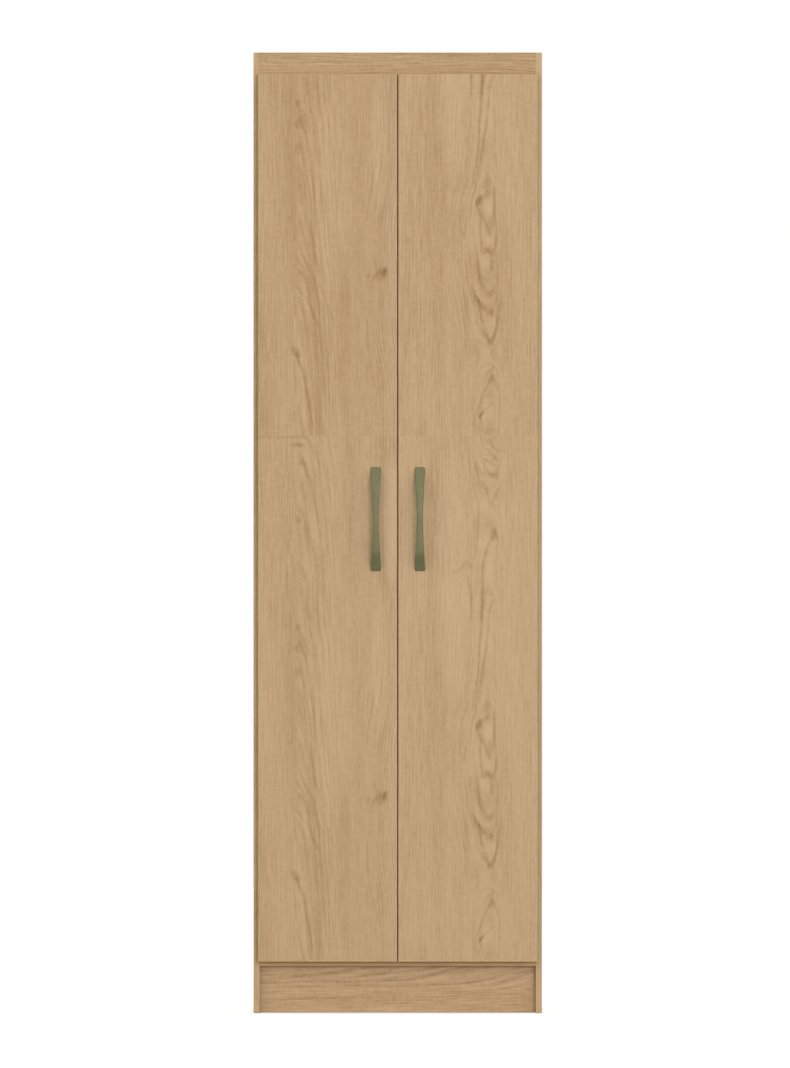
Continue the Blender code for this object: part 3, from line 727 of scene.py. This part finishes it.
def model_screw(radius, height):
    """A pan-head screw standing on the origin: head up, with a cross in it, and a short shank below."""
    screw = round_blank(32, radius, height, (0.0, 0.0, height / 2))
    pick("EDGE", lambda place, edge: place.z > height * 0.99)
    bpy.ops.mesh.bevel(offset=height * 0.75, segments=5)
    pick("FACE", lambda place, face: face.normal.z < -0.9)
    bpy.ops.mesh.inset(thickness=radius * 0.5)
    extrude(0.0, 0.0, -height)
    close_mesh()
    long, thin, deep = radius * 1.1, radius * 0.24, height * 1.2
    cut_slot(screw, (0.0, 0.0, height), (long, thin, deep))
    cut_slot(screw, (0.0, 0.0, height), (thin, long, deep))
    smooth(screw)
    return screw


SIDES = {"left": -1.0, "right": 1.0}
TO_THE_MIDDLE = {name: (0.0, -side * math.pi / 2, 0.0) for name, side in SIDES.items()}
brim_screw = model_screw(0.0032, 0.0014)
for name, side in SIDES.items():
    low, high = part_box("rail_socket_" + name)
    middle = (low + high) / 2
    face = low.x + SOCKET_BRIM if side < 0 else high.x - SOCKET_BRIM
    places = [(face, middle.y, middle.z + up * SOCKET_SCREW_OFFSET) for up in (-1.0, 1.0)]
    fit_copies(brim_screw, "socket_screws_" + name, places, TO_THE_MIDDLE[name], "cabinet")
bpy.data.objects.remove(brim_screw)

# Hinge arms and mounting plates: three on each side panel, pressed from steel sheet and nickel-plated.
# A plate is screwed to the panel by its two wings, and the arm is clamped over its rib.
# The presswork has soft edges, and two adjusting screws sit in the arm's roof.


def fit_softened(node, name, width, material, body):
    """Fits a copy of a CAD node with its triangles merged and its edges rounded a little."""
    piece = bpy.data.objects.new(name, nodes[node].data.copy())
    bpy.context.scene.collection.objects.link(piece)
    choose(piece)
    bpy.ops.mesh.customdata_custom_splitnormals_clear()
    open_mesh()
    bpy.ops.mesh.select_all(action="SELECT")
    bpy.ops.mesh.remove_doubles(threshold=0.000005)
    bpy.ops.mesh.dissolve_limited(angle_limit=math.radians(1.0))
    close_mesh()
    rounding = piece.modifiers.new("rounding", "BEVEL")
    rounding.limit_method = "ANGLE"
    rounding.angle_limit = math.radians(40.0)
    rounding.width = width
    rounding.segments = 2
    bpy.ops.object.modifier_apply(modifier="rounding")
    smooth(piece)
    fit(piece, material, body, "zinc_plated_steel", node)


HINGES = [
    (name, side, name + "_" + level)
    for name, side in SIDES.items()
    for level in ("upper", "middle", "lower")
]
PRESSED_EDGE = 0.0003
WING = 0.003
WING_SCREW_OFFSET = 0.0195
ARM_SCREWS_FROM_REAR = (0.008, 0.03)
nickel = metal("nickel_plated_steel", (0.7, 0.69, 0.66), (0.54, 0.53, 0.5), 0.26, (0.5, 0.5, 0.5))
wing_screw = model_screw(0.0036, 0.0015)
adjusting_screw = model_screw(0.003, 0.001)
for name, side, ending in HINGES:
    for part in ("plate_", "arm_"):
        fit_softened("hinge_" + part + ending, "pressed_" + part + ending, PRESSED_EDGE, nickel, "cabinet")
    low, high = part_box("hinge_plate_" + ending)
    middle = (low + high) / 2
    wing_x = side * (max(abs(low.x), abs(high.x)) - WING)
    places = [(wing_x, middle.y, middle.z + up * WING_SCREW_OFFSET) for up in (-1.0, 1.0)]
    fit_copies(wing_screw, "plate_screws_" + ending, places, TO_THE_MIDDLE[name], "cabinet")
    low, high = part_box("hinge_arm_" + ending)
    roof_x = side * min(abs(low.x), abs(high.x))
    places = [(roof_x, high.y - back, middle.z) for back in ARM_SCREWS_FROM_REAR]
    fit_copies(adjusting_screw, "arm_screws_" + ending, places, TO_THE_MIDDLE[name], "cabinet")
bpy.data.objects.remove(wing_screw)
bpy.data.objects.remove(adjusting_screw)

# Doors: two upright boards, 15 mm thick, edged all round, that lie on the front of the cabinet.
# Both are cut from one printed decor, which repeats every 986 mm up the door and shows a faint joint there.
# The left door has a half arch down its outer part, the right one a pointed arch round a knot.

REPEAT = 985.6
JOINT_HEIGHT = 100.8
DOOR_FRONT = -235.85


def spot(across, along, x, t, half_width, half_length, lean=0.0):
    """1 in the middle of an oval mark and 0 at its rim; lean is sideways millimetres per millimetre up."""
    side = (across - x - (along - t) * lean) / half_width
    rise = (along - t) / half_length
    return ease(side * side + rise * rise, 1.0, 0.0)


def add_marks(dark, across, along, marks):
    """Adds oval marks to a print: strength, place, half sizes and lean; below zero a mark is paler."""
    for strength, *shape in marks:
        dark = dark + spot(across, along, *shape) * strength
    return dark


def door_oak(name):
    """A door's material with its across and along coordinates on the repeating print."""
    material, (x, y, z), normal = new_finish(name)
    end = ease(reckon("ABSOLUTE", normal[2]), 0.6, 0.8)
    across = between(x + (y - DOOR_FRONT), y, end)
    along = reckon("WRAP", between(z, x, end) - JOINT_HEIGHT, REPEAT, 0.0)
    return material, across, along, z


HEART = [
    (0, 6.2), (68, 6.4), (120, 6.8), (150, 7.4), (181, 7), (235, 6), (271, 5), (350, 4), (382, 3.6),
    (412, 3.45), (434, 3.4), (453, 3.7), (472, 4.6), (493, 5.3), (583, 6), (696, 7), (822, 8), (845, 8.3),
    (863, 8), (912, 7), (929, 6), (944, 5), (955, 4), (969, 3.2), (REPEAT, 2.7),
]
REACH = [
    (0, 41), (68, 41), (150, 38), (235, 51), (350, 60), (434, 53), (493, 41), (583, 36), (752, 34),
    (845, 32), (912, 38), (REPEAT, 41),
]
WANDER = [
    (0, 8), (68, 14), (120, 16.5), (150, 12), (181, 8), (271, 8), (350, 6), (434, 8), (583, 6),
    (696, 10), (822, 16), (845, 12), (863, 9), (912, 12), (969, 8), (REPEAT, 8),
]
HEART_X = 175.4
COLUMN = 28.0


def arch_rings(across, along):
    """Pointed rings up a column about the heart, which swells to the left; straight grain beside it."""
    heart = curve(along, REPEAT, 10.0, HEART)
    reach = curve(along, REPEAT, 100.0, REACH)
    wander = curve(along, REPEAT, 50.0, WANDER) - 10.0
    side = across - HEART_X
    on_right = ease(side, -0.5, 0.5)
    width = reach + (COLUMN - reach) * on_right
    side = side - wander * reckon("MAXIMUM", 1.0 - reckon("ABSOLUTE", side) / width, 0.0)
    out = reckon("ABSOLUTE", side)
    swell = (width - COLUMN) * reckon("MINIMUM", out / width, 1.0) * ease(out, 120.0, width)
    apart = out - swell
    inside = 1.0 - reckon("POWER", reckon("MINIMUM", apart / COLUMN, 1.0), 1.9)
    beyond = reckon("MAXIMUM", apart - COLUMN, 0.0)
    straight = 8.6 + beyond * 0.138 + ease(beyond, 0.0, 0.3) * on_right * 37.0
    return between(straight, heart, inside)


RIGHT_UPRIGHT_LINES = [
    (0.15, 4.8, [
        (440, 137), (461, 139.5), (510, 146), (538, 151), (583, 154.5), (617, 157), (673, 159),
        (707, 159.2), (741, 160.3), (764, 165), (784, 171.5), (804, 180.5), (823, 183),
    ]),
    (0.13, 10.0, [(620, 157), (707, 159), (741, 161), (764, 166), (784, 172.5), (804, 180.5), (812, 182)]),
    (0.12, 4.4, [(782, 192), (790, 189), (803, 184.5), (815, 182)]),
    (0.2, 4.6, [
        (440, 142), (461, 144.5), (497, 151), (520, 155.8), (554, 160.3), (583, 166), (617, 169.4),
        (646, 171.6), (664, 174), (680, 182.5), (696, 188.5),
    ]),
    (0.14, 4.4, [
        (735, 138), (750, 142), (770, 147), (797, 150), (839, 151.5), (865, 148), (892, 141), (927, 136),
        (970, 134),
    ]),
    (0.18, 4.8, [(345, 184), (372, 186), (393, 185), (421, 181.5), (453, 181.5), (480, 176)]),
    (0.08, 4.8, [
        (360, 125), (370, 125), (384, 121.5), (395, 116.5), (414, 119.5), (434, 123), (450, 125),
    ]),
    (0.07, 4.6, [(150, 127), (200, 127), (260, 125.5), (300, 124)]),
    (0.06, 4.6, [(140, 133), (190, 133), (240, 131), (290, 128)]),
    (0.06, 4.6, [(240, 146), (290, 143), (340, 145), (370, 147)]),
    (0.13, 4.6, [(630, 137), (664, 137.8), (691, 136.5), (714, 132), (725, 124), (736, 114)]),
    (0.17, 4.6, [
        (0, 145.5), (20, 146), (36, 146.8), (50, 149.5), (64, 156.4), (81, 161.7), (98, 170), (110, 175),
        (117, 177),
    ]),
    (0.12, 4.6, [(84, 188.5), (90, 186), (104, 181), (116, 177.5)]),
    (0.08, 4.0, [(108, 176), (130, 180), (152, 182)]),
    (0.13, 3.8, [(-4, 156), (4, 156.4), (12, 158), (22, 158.3), (38, 153)]),
]
RIGHT_BOWLS = [
    (0.2, 9.0, [(146, 440), (149, 430), (157, 416), (164, 405), (167.5, 391), (173, 382), (179, 379)]),
    (0.22, 10.0, [
        (152, 392), (155, 375), (158, 354), (163, 347), (170, 350), (178, 346), (185, 366), (188, 386),
    ]),
    (0.17, 12.0, [
        (145, 372), (147.5, 337), (151, 314), (155.5, 290), (160, 276), (170, 267), (183, 276), (187, 295),
        (192, 350),
    ]),
    (0.16, 10.0, [
        (130, 302), (135, 283), (144, 265), (152, 251), (160, 241), (172, 239), (182, 227), (187, 241),
        (195, 266),
    ]),
    (0.18, 9.5, [
        (148, 262), (153, 242), (160, 211), (167.5, 192), (174.5, 176), (181.5, 188), (187, 209),
        (194, 240),
    ]),
    (0.14, 6.0, [(150, 30), (158, 41), (165, 49.5), (173, 56), (183, 60)]),
    (0.07, 7.0, [(161, 0), (169, 10), (177.5, 14), (186, 10), (196, 0)]),
    (0.13, 6.0, [(171, 982), (175, 972), (180, 964), (187, 959), (193, 958)]),
    (0.13, 7.0, [(169, 958), (172.5, 954), (181.5, 946), (187, 941), (192, 938)]),
    (0.12, 7.0, [(160, 946), (164, 941), (174.5, 934), (183, 930), (190, 930)]),
    (0.18, 8.0, [(157, 940), (160.5, 932), (169, 920), (179.5, 911), (188.5, 912.5), (193, 917)]),
    (0.18, 9.0, [
        (138, 950), (143, 937), (150, 920), (155, 900), (164, 890), (170, 876), (173, 859), (180, 870),
        (194, 891),
    ]),
    (0.13, 6.5, [(99, 727), (106, 730), (115, 732), (122, 743.5), (129, 748), (138, 741), (146, 730)]),
]
RIGHT_MARKS = [
    (0.34, 152.6, 443.0, 7.5, 14.0, 0.3),
    (-0.07, 171.0, 434.0, 10.0, 25.0),
    (0.18, 173.0, 400.0, 9.0, 21.0),
    (0.14, 169.5, 482.0, 8.0, 50.0),
    (0.16, 176.0, 327.0, 6.0, 24.0),
    (0.14, 176.5, 107.0, 9.0, 13.0),
    (0.2, 157.0, 40.0, 5.6, 9.0, 0.5),
    (0.12, 180.0, 800.0, 8.0, 18.0),
    (0.1, 125.0, 737.0, 14.0, 10.0),
    (-0.16, 103.0, 710.0, 38.0, 300.0),
    (0.11, 200.0, 274.0, 18.0, 200.0),
]
material, across, along, height = door_oak("oak_door_right")
column = ease(across, 118.0, 165.0) * ease(across, 204.0, 194.0)
clear = column * (1.0 - ease(along, 425.0, 450.0)) * 0.35
# The print darkens slowly up the door: painted light, paler low down to counter the light's fall towards the
# floor.
dark = print_oak(arch_rings, across, along, 61.0, clear) + (height - 300.0) * 0.00005
dark = draw_lines(dark, across, along, 5.0, RIGHT_UPRIGHT_LINES, RIGHT_BOWLS)
dark = add_marks(dark, across, along, RIGHT_MARKS)
# Paler along the right door's outer edge: a painted highlight where the light from the right catches it.
dark = dark - ease(across, 234.0, 254.0) * 0.06
finish_oak(material, dark, across, along)
dress("door_right", material)

HALF_HEART = [
    (0, 2), (75, 2.4), (156, 3), (284, 4), (339, 5), (489, 6), (587, 6.6), (626, 7), (724, 7.3), (828, 8),
    (950, 9), (REPEAT, 9.6),
]
HALF_HEART_X = -189.5


def half_arch_rings(across, along):
    """Rings that leave the heart line, fall away to the right and pass a knot near the inner edge."""
    heart = curve(along, REPEAT, 10.0, HALF_HEART)
    out = across - HALF_HEART_X
    on_right = ease(out, -1.5, 1.5)
    share = reckon("MAXIMUM", 1.0 - reckon("POWER", reckon("MAXIMUM", out / 150.0, 0.0), 1.5), 0.0)
    past = reckon("ABSOLUTE", out)
    straight = 12.0 + past * 0.069 + reckon("MAXIMUM", past - 75.0, 0.0) * 0.048
    straight = straight + (1.0 - on_right) * (past * 0.07 + 29.0)
    above = ease(reckon("ABSOLUTE", along - 375.0), 185.0, 0.0) * 2.8
    below = ease(reckon("ABSOLUTE", along - 200.0), 130.0, 0.0) * 2.45
    bulge = (above + below) * ease(across, -118.0, -48.0)
    return (between(straight, heart, share * on_right) + bulge) * 1.35


LEFT_UPRIGHT_LINES = [
    (0.09, 6.0, [(572, -165), (592, -172.5), (606, -179), (621, -186.5), (640, -191)]),
    (0.06, 5.0, [(395, -162), (433, -165), (474, -169), (510, -176), (550, -180)]),
    (0.06, 5.0, [(335, -127), (369, -129), (421, -135), (468, -142), (510, -145.5), (570, -147)]),
    (0.08, 5.0, [(265, -159), (288, -164.5), (300, -168), (318, -177), (332, -189), (345, -194)]),
    (0.09, 5.0, [
        (280, -134), (300, -142), (318, -147), (335, -154), (358, -159.5), (380, -163), (420, -166),
    ]),
    (0.08, 5.0, [(205, -120), (230, -126), (239, -129.5), (256, -136.5), (283, -145), (300, -149)]),
    (0.12, 5.0, [
        (195, -145), (211, -150.5), (221, -156), (240, -163), (258, -171.5), (270, -182), (288, -194),
    ]),
    (0.07, 4.5, [(0, -145.5), (46, -147.5), (117, -151), (200, -152)]),
    (0.07, 4.0, [(0, -127.5), (82, -129), (153, -131), (195, -132)]),
    (0.17, 4.4, [(5, -156), (21, -160), (75, -170.5), (117, -178), (139, -186.5), (165, -193)]),
    (0.1, 4.0, [(394, -60), (427, -56.5), (452, -52), (488, -46), (523, -41.5), (558, -38), (600, -36)]),
    (0.07, 4.0, [(380, -44), (440, -40), (520, -31), (600, -27)]),
    (0.1, 4.0, [
        (60, -33), (74, -36.5), (102, -43.5), (133, -50.5), (163, -55.5), (191, -57.5), (240, -58),
    ]),
]
LEFT_BOWLS = [
    (0.12, 6.0, [(-54, 276), (-50, 287), (-45.5, 298.5), (-37.5, 305.5), (-28, 307)]),
    (0.09, 6.0, [(-50, 340), (-45.5, 331), (-37.5, 317), (-29.5, 312), (-20, 311)]),
]
LEFT_MARKS = [
    (0.22, -192.0, 157.0, 10.0, 14.0, -0.4),
    (0.2, -24.5, 308.0, 6.0, 15.0, 0.35),
    (0.12, -31.0, 304.0, 18.0, 17.0),
    (0.12, -56.0, 301.0, 6.0, 9.0),
    (0.18, -187.0, 586.0, 9.0, 12.0),
    (0.12, -187.0, 626.0, 8.0, 9.0),
    (0.1, -187.0, 540.0, 10.0, 16.0),
    (0.15, -187.0, 828.0, 8.0, 10.0),
    (0.2, -188.0, 968.0, 17.0, 6.0),
    (-0.16, -139.0, 440.0, 20.0, 280.0),
    (0.14, -101.0, 190.0, 18.0, 220.0),
    (-0.13, -34.0, 556.0, 18.0, 160.0),
    (-0.3, -12.0, 828.0, 20.0, 140.0),
]
material, across, along, height = door_oak("oak_door_left")
arch = ease(across, -191.0, -187.0) * ease(across, -60.0, -120.0)
clear = arch * 0.38 + ease(across, -100.0, -72.0) * 0.95
# The print darkens slowly up the door: painted light, paler low down to counter the light's fall towards the
# floor.
dark = print_oak(half_arch_rings, across, along, 83.0, clear) + (height + 500.0) * 0.00005
dark = dark - ease(across, -100.0, -60.0) * 0.025
dark = draw_lines(dark, across, along, 9.0, LEFT_UPRIGHT_LINES, LEFT_BOWLS)
dark = add_marks(dark, across, along, LEFT_MARKS)
dark = dark + ease(along, 977.0, 984.0) * ease(across, -174.0, -190.0) * 0.09
finish_oak(material, dark, across, along)
dress("door_left", material)

# Hinge cups and pins: three pressed steel cups to a door, each in a blind bore with a flange on the back.
# Two screws hold the flange, and the arm's eye turns on a pin across the cup.

PIN_EDGE = 0.0002
FLANGE_SCREW_X = 0.2365
FLANGE_SCREW_OFFSET = 0.0225
flange_screw = model_screw(0.0034, 0.0014)
for name, side, ending in HINGES:
    door = name + "_door"
    fit_softened("hinge_cup_" + ending, "pressed_cup_" + ending, PRESSED_EDGE, nickel, door)
    fit_softened("hinge_pin_" + ending, "turned_pin_" + ending, PIN_EDGE, steel, door)
    low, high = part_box("hinge_cup_" + ending)
    z = (low.z + high.z) / 2
    places = [(side * FLANGE_SCREW_X, high.y, z + up * FLANGE_SCREW_OFFSET) for up in (-1.0, 1.0)]
    fit_copies(flange_screw, "cup_screws_" + ending, places, TO_THE_REAR, door)
bpy.data.objects.remove(flange_screw)

# Handles: a bow of cast metal on each door, flared from a narrow waist to two broad feet.
# The long edges are rounded, and the whole is powder-coated a dull sage green.
# Two screws from behind the door hold each one.

HANDLE_HALF = 0.098
WAIST = 0.0114
END_WIDTH = 0.0206
BAR = 0.008
FOOT = 0.028
PROJECTION = 0.028
SHOULDER = (0.066, 0.024)
INNER_SHOULDER = (0.063, 0.016)
BEND_SHARE = 0.16
EDGE_ROUNDING = 0.0026
low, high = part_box("handle_left")
handle_x = (low.x + high.x) / 2
handle_z = (low.z + high.z) / 2
door_face = high.y


def soft_bend(start, corner, end, share):
    """A point on a bend that leaves start for a corner and turns off there towards end."""
    before = (1.0 - share) ** 2
    after = share**2
    return tuple(before * a + (1.0 - before - after) * b + after * c for a, b, c in zip(start, corner, end))


def partway(start, end, share):
    """The point that lies some share of the way from start to end."""
    return tuple(a + (b - a) * share for a, b in zip(start, end))


stations = []
for step in range(1, 10):
    share = 0.92 * step / 9
    rise = PROJECTION - (PROJECTION - SHOULDER[1]) * share**2
    stations.append(((share * SHOULDER[0], rise), (share * INNER_SHOULDER[0], rise - BAR)))
outer_foot = (HANDLE_HALF, 0.0)
inner_foot = (HANDLE_HALF - FOOT, 0.0)
outer_end = partway(SHOULDER, outer_foot, BEND_SHARE)
inner_end = partway(INNER_SHOULDER, inner_foot, BEND_SHARE)
outer_start, inner_start = stations[-1]
for step in range(1, 9):
    outer = soft_bend(outer_start, SHOULDER, outer_end, step / 8)
    inner = soft_bend(inner_start, INNER_SHOULDER, inner_end, step / 8)
    stations.append((outer, inner))
for step in range(1, 6):
    outer = partway(outer_end, outer_foot, step / 5)
    inner = partway(inner_end, inner_foot, step / 5)
    stations.append((outer, inner))


def handle_width(height):
    """Width of the handle at a height above its waist."""
    return WAIST + (END_WIDTH - WAIST) * (height / HANDLE_HALF) ** 1.5


bpy.ops.mesh.primitive_plane_add(size=1.0, location=(0.0, 0.0, 0.0))
handle = bpy.context.active_object
handle.name = "bow_handle_left"
handle.scale = (WAIST, BAR, 1.0)
handle.location = (0.0, -PROJECTION + BAR / 2, 0.0)
settle(handle)
open_mesh()
last_outer = (0.0, PROJECTION)
last_inner = (0.0, PROJECTION - BAR)
last_widths = (WAIST, WAIST)
for outer, inner in stations:
    widths = (handle_width(outer[0]), handle_width(inner[0]))
    bpy.ops.mesh.select_mode(type="FACE")
    extrude(0.0, 0.0, 0.0)
    close_mesh()
    cap = [point.index for point in handle.data.vertices if point.select]
    middle_y = sum(handle.data.vertices[index].co.y for index in cap) / len(cap)
    front = {index for index in cap if handle.data.vertices[index].co.y < middle_y}
    back = set(cap) - front
    open_mesh()
    for ends, was, now, width_was, width_now in (
        (front, last_outer, outer, last_widths[0], widths[0]),
        (back, last_inner, inner, last_widths[1], widths[1]),
    ):
        pick("VERT", lambda place, point: point.index in ends)
        bpy.ops.transform.translate(value=(0.0, was[1] - now[1], now[0] - was[0]))
        bpy.ops.transform.resize(
            value=(width_now / width_was, 1.0, 1.0),
            center_override=(0.0, -now[1], now[0]),
        )
    pick("VERT", lambda place, point: point.index in front or point.index in back)
    bpy.ops.mesh.select_mode(type="FACE")
    last_outer, last_inner, last_widths = outer, inner, widths
bpy.ops.mesh.delete(type="ONLY_FACE")
pick("FACE", lambda place, face: abs(place.z) < 0.000001)
bpy.ops.mesh.delete(type="ONLY_FACE")
close_mesh()
lower_half = handle.modifiers.new("lower_half", "MIRROR")
lower_half.use_axis = (False, False, True)
lower_half.merge_threshold = 0.00001
bpy.ops.object.modifier_apply(modifier="lower_half")
open_mesh()
face_outwards()
round_edges(50.0, EDGE_ROUNDING, 5)
bpy.ops.mesh.select_mode(type="VERT")
bpy.ops.mesh.select_all(action="DESELECT")
bpy.ops.mesh.select_non_manifold()
bpy.ops.mesh.edge_face_add()
face_outwards()
close_mesh()
handle.location = (handle_x, door_face, handle_z)
settle(handle)
smooth(handle, 40.0)
other_handle = copy_piece(handle, "bow_handle_right", (-2.0 * handle_x, 0.0, 0.0))

material, (x, y, z), _ = new_finish("sage_powder_coat")
set_shader(material, Specular_IOR_Level=0.3)
peel = haze(x * 0.9, y * 0.9, z * 0.9, 1.0)
dust = haze(x * 3.0, y * 3.0, z * 3.0, 2.0)
drift = haze(x * 0.04, y * 0.04, z * 0.04, 2.0)
colour = shades(
    drift + dust * 0.4 + 0.5,
    (0.2, (0.166, 0.164, 0.074)),
    (0.8, (0.141, 0.14, 0.062)),
)
finish(material, colour, 0.42 + drift * 0.15 + dust * 0.1, peel + dust * 0.4, 0.00006)
fit(handle, material, "left_door", "sage_paint", "handle_left")
fit(other_handle, material, "right_door", "sage_paint", "handle_right")

# Handle screws: two machine screws to a handle, with crossed pan heads on the door's back.
# Their shanks run through the door into the handle's feet.

BOLT_HEAD = 0.0025
low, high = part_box("handle_screw_left_upper")
bolt = model_screw((high.z - low.z) / 2, BOLT_HEAD)
open_mesh()
pick("FACE", lambda place, face: place.z < -BOLT_HEAD * 0.99)
bpy.ops.transform.translate(value=(0.0, 0.0, BOLT_HEAD * 2 - high.y + low.y))
close_mesh()
for name in SIDES:
    for level in ("upper", "lower"):
        ending = "_".join((name, level))
        low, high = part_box("handle_screw_" + ending)
        place = ((low.x + high.x) / 2, high.y - BOLT_HEAD, (low.z + high.z) / 2)
        twin = copy_piece(bolt, "pan_head_bolt_" + ending, place, TO_THE_REAR)
        fit(twin, steel, name + "_door", "zinc_plated_steel", "handle_screw_" + ending)
bpy.data.objects.remove(bolt)

# Door bumpers: a clear grey rubber dome near the top of each door's back, stuck on.
# It meets the top rail and takes the knock when the door shuts.

material, (x, y, z), _ = new_finish("clear_grey_rubber_dome")
set_shader(material, Transmission_Weight=0.55, IOR=1.45)
milk = haze(x * 0.6, y * 0.6, z * 0.6)
colour = shades(milk + 0.5, (0.2, (0.78, 0.78, 0.75)), (0.8, (0.66, 0.66, 0.63)))
finish(material, colour, milk * 0.2 + 0.35, milk, 0.00005)
low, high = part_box("door_bumper_left")
bumper = round_blank(40, (high.x - low.x) / 2, high.y - low.y, (low + high) / 2, TO_THE_REAR)
bumper.name = "rubber_dome_left"
pick("EDGE", lambda place, edge: place.y > high.y - 0.00001)
bpy.ops.mesh.bevel(offset=0.0014, segments=6)
close_mesh()
smooth(bumper)
other_bumper = copy_piece(bumper, "rubber_dome_right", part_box("door_bumper_right")[0] - low)
fit(bumper, material, "left_door", "clear_grey_rubber", "door_bumper_left")
fit(other_bumper, material, "right_door", "clear_grey_rubber", "door_bumper_right")

# Studio: a wide pale floor, an even white surround and one broad soft light from the upper right front.
# The camera stands 40 m in front of the doors with a long lens, level, half way up.

bpy.ops.mesh.primitive_circle_add(vertices=64, radius=14.0, fill_type="NGON", location=(0, 0, 0))
floor = bpy.context.active_object
floor.name = "studio_floor"
floor_paint = bpy.data.materials.new("studio_floor_paint")
floor_paint.use_nodes = True
set_shader(
    floor_paint,
    Base_Color=(0.45, 0.45, 0.45, 1.0),
    Roughness=0.9,
    Emission_Color=(1.0, 1.0, 1.0, 1.0),
)


def seen_directly(tree):
    """1 where the camera itself looks at a surface or the surround, and 0 for light that bounces."""
    return Tone(tree, tree.nodes.new("ShaderNodeLightPath").outputs["Is Camera Ray"])


tree = floor_paint.node_tree
glow = seen_directly(tree) * 0.58
tree.links.new(glow.socket, tree.nodes["Principled BSDF"].inputs["Emission Strength"])
floor.data.materials.append(floor_paint)

world = bpy.data.worlds.new("studio_surround")
bpy.context.scene.world = world
world.use_nodes = True
tree = world.node_tree
backdrop = tree.nodes["Background"]
backdrop.inputs["Color"].default_value = (1.0, 1.0, 1.0, 1.0)
direction = tree.nodes.new("ShaderNodeTexCoord")
split = tree.nodes.new("ShaderNodeSeparateXYZ")
tree.links.new(direction.outputs["Generated"], split.inputs["Vector"])
dome = ease(Tone(tree, split.outputs["Z"]), -0.5, 0.6) * 0.42 + 0.82
tree.links.new(between(dome, 1.0, seen_directly(tree)).socket, backdrop.inputs["Strength"])

bpy.ops.object.light_add(type="AREA", location=(2.6, -11.6, 1.9))
key = bpy.context.active_object
key.name = "key_light"
key.data.shape = "DISK"
key.data.size = 2.4
key.data.energy = 275.0
key.rotation_mode = "QUATERNION"
key.rotation_quaternion = (Vector((0.0, -0.2, 0.95)) - key.location).to_track_quat("-Z", "Y")

STAND_OFF = 40.0
EYE_X = -0.0052
EYE_HEIGHT = 0.902
PIXEL = 0.001881
FRAME_HEIGHT = 1068 * PIXEL
SENSOR = 36.0
bpy.ops.object.camera_add(location=(EYE_X, DOOR_FRONT / 1000 - STAND_OFF, EYE_HEIGHT))
camera = bpy.context.active_object
camera.rotation_euler = (math.pi / 2, 0.0, 0.0)
camera.data.sensor_width = SENSOR
camera.data.lens = SENSOR * STAND_OFF / FRAME_HEIGHT
camera.data.clip_end = 200.0
bpy.context.scene.camera = camera
bpy.context.scene.view_settings.view_transform = "Standard"
